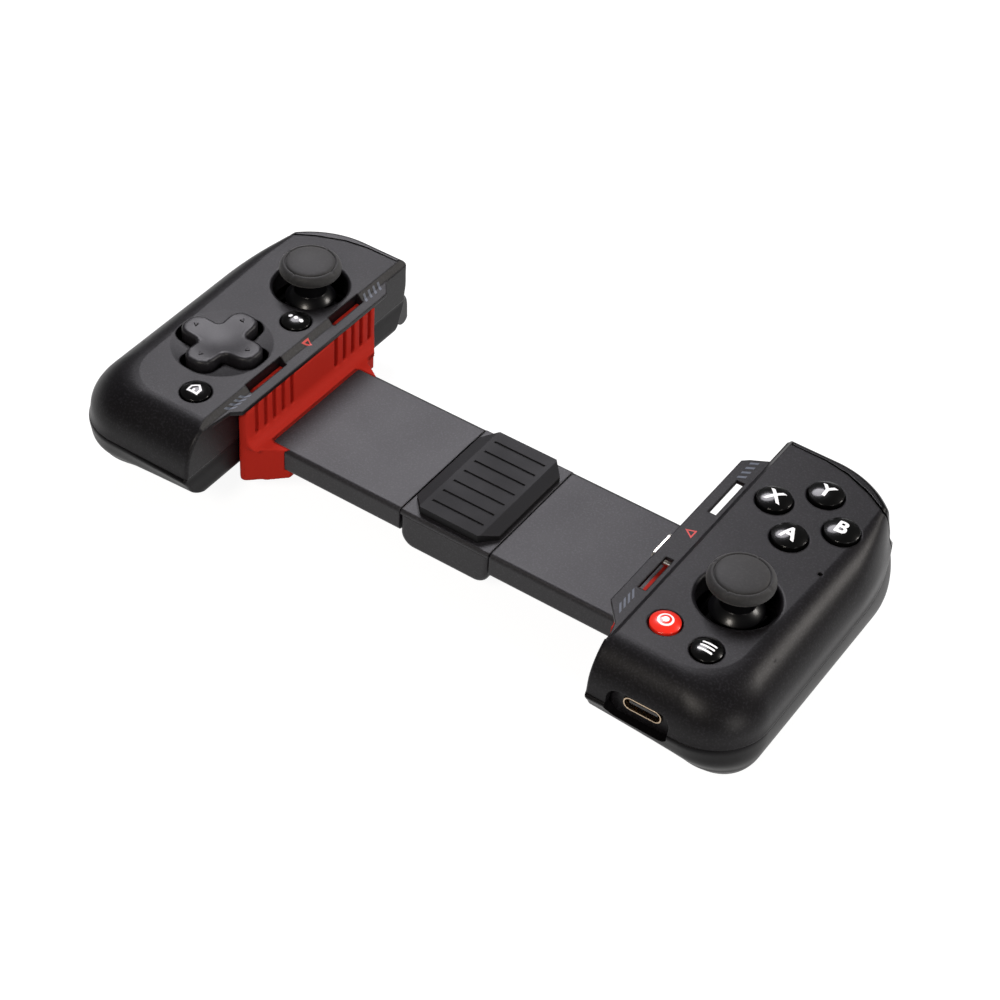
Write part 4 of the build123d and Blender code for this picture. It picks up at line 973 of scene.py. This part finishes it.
@dataclass
class DirectionPad:
    """The direction pad: a cross with one smooth valley and a small mark on each arm."""

    frame: Frame
    centre: Point = (-66.5, -11.7)
    mark_radius: float = 7.55
    mark_height: float = 0.16
    arm_width: float = 7.3
    reach: float = 10.35
    top_z: float = 31.5
    plate: float = 5.3
    end_radius: float = 3.1
    inner_radius: float = 1.3
    corner_steps: int = 8
    # Each step of the rounded rim: how far it goes in and how far it rises.
    rim: Sequence[Point] = ((0.12, 0.42), (0.23, 0.24), (0.45, 0.14))
    dish_radius: float = 8.5
    dish_depth: float = 0.75
    # Points deeper than this under the rim's foot belong to the skirt and stay where they are.
    skirt_depth: float = 0.1
    post_reach: float = 8.0
    post_radius: float = 1.3
    post_length: float = 4.8

    def draw_cross(self, shape: Shape) -> bmesh.types.BMFace:
        """Adds the cross as one flat face with round corners.

        Args:
            shape: The mesh to add to.

        Returns:
            The face.
        """
        half = self.arm_width / 2
        quarter = [Vector((x, y, 0.0)) for x, y in ((half, half), (half, self.reach), (-half, self.reach))]
        turns = [Matrix.Rotation(math.radians(90 * number), 3, "Z") for number in range(4)]
        verts = [shape.verts.new(turn @ place) for turn in turns for place in quarter]
        shape.faces.new(verts)
        rounded = ((verts[0::3], self.inner_radius), (verts[1::3] + verts[2::3], self.end_radius))
        for chosen, radius in rounded:
            bmesh.ops.bevel(shape, geom=chosen, offset=radius, offset_type="OFFSET", affect="VERTICES",
                            segments=self.corner_steps, profile=0.5, material=-1)
        return shape.faces[:][0]

    def build_cross(self) -> Piece:
        """Builds the pad's cap: one smooth valley from arm to arm, with round ends.

        Returns:
            The cross, standing for the CAD cap.
        """
        shape = bmesh.new()
        face = self.draw_cross(shape)
        skirt = bmesh.ops.extrude_edge_only(shape, edges=face.edges[:])["geom"]
        lowered = [item for item in skirt if isinstance(item, bmesh.types.BMVert)]
        rim_height = sum(rise for _, rise in self.rim)
        underside = rim_height - self.plate
        bmesh.ops.translate(shape, verts=lowered, vec=(0.0, 0.0, underside))
        bmesh.ops.holes_fill(shape, edges=[edge for edge in shape.edges if edge.is_boundary])
        for inwards, rise in self.rim:
            bmesh.ops.inset_region(shape, faces=[face], thickness=inwards, use_even_offset=True)
            bmesh.ops.translate(shape, verts=face.verts[:], vec=(0.0, 0.0, rise))
        cut_grid(shape)
        for vertex in shape.verts:
            share = max(0.0, 1 - (vertex.co.x ** 2 + vertex.co.y ** 2) / self.dish_radius ** 2)
            if vertex.co.z > -self.skirt_depth:
                vertex.co.z -= self.dish_depth * share ** 2
        for x, y in ((1, 0), (-1, 0), (0, 1), (0, -1)):
            post = bmesh.ops.create_cone(shape, cap_ends=True, segments=24, radius1=self.post_radius,
                                         radius2=self.post_radius, depth=self.post_length)["verts"]
            under = (x * self.post_reach, y * self.post_reach, underside - self.post_length / 2)
            bmesh.ops.translate(shape, verts=post, vec=under)
        set_down(shape, (self.centre[0] * MM, self.centre[1] * MM, (self.top_z - rim_height) * MM))
        cross = new_piece("valley_cross", shape, Finish.CROSS, smooth=True)
        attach(cross, body_of_node(self.frame, "dpad"))
        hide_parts("dpad")
        return cross

    def build(self) -> list[Piece]:
        """Builds and dresses the direction pad.

        Returns:
            The marks and the cross.
        """
        # The rocker and post under the cross are near-black acetal, painted shade.
        for node in ("dpad_rocker", "dpad_post"):
            dress(self.frame, node, Finish.BLACK_ACETAL)
        marks = []
        for number in range(4):
            turn = 90.0 * number
            angle = math.radians(turn)
            at = (self.centre[0] - self.mark_radius * math.sin(angle),
                  self.centre[1] + self.mark_radius * math.cos(angle))
            marks.append(Mark(f"dpad_mark_{number + 1}", "dpad", at, turn, Finish.CROSS, draw_arrow,
                              self.mark_height))
        return [mark.lay(self.frame) for mark in marks] + [self.build_cross()]


@dataclass
class Bridge:
    """The centre housing with its rubber pad, rails and gear."""

    frame: Frame

    def build(self) -> list[Piece]:
        """Dresses the bridge.

        Returns:
            No new pieces.
        """
        finishes = {"bridge_housing": Finish.ARM, "bridge_cover": Finish.ARM,
                    "grip_pad": Finish.PAD_RUBBER, "guide_rails": Finish.STEEL,
                    "bridge_screws": Finish.STEEL, "sync_pinion": Finish.ACETAL}
        for node, finish in finishes.items():
            dress(self.frame, node, finish)
        return []


@dataclass
class Connectors:
    """The plug that the phone takes, the charging port with its gold contacts, and the buttons' mats."""

    frame: Frame
    contacts: int = 12
    pitch: float = 0.5
    contact_width: float = 0.26
    contact_length: float = 3.2
    contact_thickness: float = 0.06
    # How far the contacts stand behind the tongue's tip and off its faces.
    contact_inset: float = 0.4
    contact_lift: float = 0.02

    def build(self) -> list[Piece]:
        """Dresses both connectors and the mats, and adds the contacts on the port's tongue.

        Returns:
            The contacts.
        """
        finishes = {"phone_plug": Finish.PLUG_METAL, "plug_board": Finish.BOARD,
                    # The tongue's grey is lightened as a painted highlight.
                    "charging_port": Finish.PORT_METAL, "port_tongue": Finish.TONGUE,
                    "port_surround": Finish.SHELL, "action_mat": Finish.MAT_SILICONE,
                    "menu_mat": Finish.MAT_SILICONE, "home_mat": Finish.MAT_SILICONE,
                    "view_mat": Finish.MAT_SILICONE}
        for node, finish in finishes.items():
            dress(self.frame, node, finish)
        low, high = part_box("port_tongue")
        middle = (low[0] + high[0]) / 2
        back = low[1] + (self.contact_inset + self.contact_length / 2) * MM
        size = (self.contact_width * MM, self.contact_length * MM, self.contact_thickness * MM)
        shape = bmesh.new()
        for number in range(self.contacts):
            across = (number - (self.contacts - 1) / 2) * self.pitch * MM
            for level in (low[2] - self.contact_lift * MM, high[2] + self.contact_lift * MM):
                strip = bmesh.ops.create_cube(shape, size=1.0)["verts"]
                bmesh.ops.scale(shape, verts=strip, vec=size)
                bmesh.ops.translate(shape, verts=strip, vec=(middle + across, back, level))
        piece = new_piece("port_contacts", shape, Finish.GOLD)
        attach(piece, body_of_node(self.frame, "port_tongue"))
        return [piece]


@dataclass(frozen=True)
class SoftBox:
    """One soft lamp: its place and size in metres, how bright its face is (1 is white), and its tint."""

    name: str
    at: Place
    size: Point
    level: float
    tint: Place

    def build(self, aim: Place) -> None:
        """Adds the lamp.

        Args:
            aim: The place that it shines at.
        """
        data = bpy.data.lights.new(self.name, "AREA")
        data.shape = "ELLIPSE"
        data.size, data.size_y = self.size
        data.energy = self.level * math.pi * self.size[0] * self.size[1]
        data.color = self.tint
        lamp = bpy.data.objects.new(self.name, data)
        lamp.location = self.at
        lamp.rotation_euler = (Vector(aim) - Vector(self.at)).to_track_quat("-Z", "Y").to_euler()
        bpy.context.scene.collection.objects.link(lamp)


@dataclass
class Studio:
    """A white sweep, soft boxes and the photograph's camera."""

    camera_at: Place = (0.20678, -0.33271, 0.37248)
    azimuth: float = 31.545
    elevation: float = 42.739
    roll: float = 3.991
    lens: float = 86.05
    sensor: float = 36.0
    near_clip: float = 0.01
    aim: Place = (0.0, 0.0, 0.02)
    world_level: float = 0.09
    # The floor: how white the camera sees it, the grey that takes the shadow, the grey that lights the part
    # from below, its half width in metres and how far below the part it lies in millimetres.
    floor_white: float = 0.92
    floor_shadow: Colour = (0.2, 0.2, 0.2, 1.0)
    floor_bounce: Colour = (0.4, 0.4, 0.4, 1.0)
    floor_size: float = 3.0
    floor_drop: float = 0.05
    lamps: Sequence[SoftBox] = (
        SoftBox("key_soft_box", (-0.62, 0.72, 1.15), (0.76, 0.76), 10.0, (0.965, 0.94, 1.0)),
        SoftBox("front_soft_box", (0.08, -0.85, 0.8), (0.32, 0.3), 22.0, (1.0, 0.93, 0.85)),
        SoftBox("far_right_soft_box", (0.62, 0.62, 0.56), (0.32, 0.32), 17.0, (1.0, 0.95, 0.9)),
        SoftBox("near_right_soft_box", (0.85, -0.3, 0.22), (0.3, 0.4), 6.0, (1.0, 0.96, 0.92)))

    def build_camera(self) -> None:
        """Places the camera that took the photograph."""
        az, el, roll = (math.radians(value) for value in (self.azimuth, self.elevation, self.roll))
        back = Vector((math.sin(az) * math.cos(el), -math.cos(az) * math.cos(el), math.sin(el)))
        right = Vector((math.cos(az), math.sin(az), 0.0))
        up = back.cross(right)
        turned_right = right * math.cos(roll) + up * math.sin(roll)
        turned_up = up * math.cos(roll) - right * math.sin(roll)
        data = bpy.data.cameras.new("camera")
        data.lens = self.lens
        data.sensor_width = self.sensor
        data.clip_start = self.near_clip
        camera = bpy.data.objects.new("camera", data)
        rotation = Matrix((turned_right, turned_up, back)).transposed().to_4x4()
        camera.matrix_world = Matrix.Translation(self.camera_at) @ rotation
        bpy.context.scene.collection.objects.link(camera)
        bpy.context.scene.camera = camera

    def build_world(self) -> None:
        """Fills the room with an even soft light and shows white behind everything."""
        world = bpy.data.worlds.new("studio")
        bpy.context.scene.world = world
        world.use_nodes = True
        tree = world.node_tree
        tree.nodes.clear()
        path = add_node(tree, "ShaderNodeLightPath")
        even = add_node(tree, "ShaderNodeBackground", {"Color": WHITE, "Strength": self.world_level})
        white = add_node(tree, "ShaderNodeBackground", {"Color": WHITE, "Strength": 1.0})
        mixed = add_node(tree, "ShaderNodeMixShader", links={
            0: path.outputs["Is Camera Ray"], 1: even.outputs[0], 2: white.outputs[0]})
        add_node(tree, "ShaderNodeOutputWorld", links={"Surface": mixed.outputs[0]})

    def build_floor(self) -> None:
        """Lays the white floor, which keeps a soft shadow for the camera and for mirrors and lenses."""
        material, tree = new_material("white_sweep")
        path = add_node(tree, "ShaderNodeLightPath").outputs
        seen = path["Is Camera Ray"]
        for ray in ("Is Glossy Ray", "Is Transmission Ray"):
            seen = add_node(tree, "ShaderNodeMath", {"operation": "ADD", "use_clamp": True},
                            {0: seen, 1: path[ray]}).outputs[0]
        glow = add_node(tree, "ShaderNodeEmission", {"Color": WHITE, "Strength": self.floor_white})
        soft = add_node(tree, "ShaderNodeBsdfDiffuse", {"Color": self.floor_shadow})
        bright = add_node(tree, "ShaderNodeAddShader", links={0: glow.outputs[0], 1: soft.outputs[0]})
        plain = add_node(tree, "ShaderNodeBsdfDiffuse", {"Color": self.floor_bounce})
        mixed = add_node(tree, "ShaderNodeMixShader",
                         links={0: seen, 1: plain.outputs[0], 2: bright.outputs[0]})
        finish_tree(tree, mixed)
        shape = bmesh.new()
        bmesh.ops.create_grid(shape, x_segments=1, y_segments=1, size=self.floor_size)
        mesh = bpy.data.meshes.new("sweep")
        shape.to_mesh(mesh)
        shape.free()
        mesh.materials.append(material)
        mesh.transform(Matrix.Translation((0.0, 0.0, -self.floor_drop * MM)))
        floor = bpy.data.objects.new("sweep", mesh)
        bpy.context.scene.collection.objects.link(floor)

    def build(self) -> list[Piece]:
        """Sets up the studio.

        Returns:
            No new pieces.
        """
        self.build_camera()
        self.build_world()
        self.build_floor()
        for lamp in self.lamps:
            lamp.build(self.aim)
        bpy.context.scene.view_settings.view_transform = "Standard"
        return []


def main() -> None:
    """Builds every sub-assembly in order and reports each piece."""
    logging.basicConfig(level=logging.INFO, format="%(name)s: %(message)s")
    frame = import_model()
    assemblies: list[Assembly] = [
        Studio(), Bridge(frame), Grip(frame, Side.LEFT), Grip(frame, Side.RIGHT),
        SiliconeBoot(frame, Side.LEFT), SiliconeBoot(frame, Side.RIGHT),
        ThumbStick(frame, Side.LEFT), ThumbStick(frame, Side.RIGHT), DirectionPad(frame),
        ButtonCluster(frame), Connectors(frame)]
    for assembly in assemblies:
        for piece in assembly.build():
            LOG.info("%s: %s with %d faces", type(assembly).__name__, piece.name, len(piece.data.polygons))


if __name__ == "__main__":
    main()
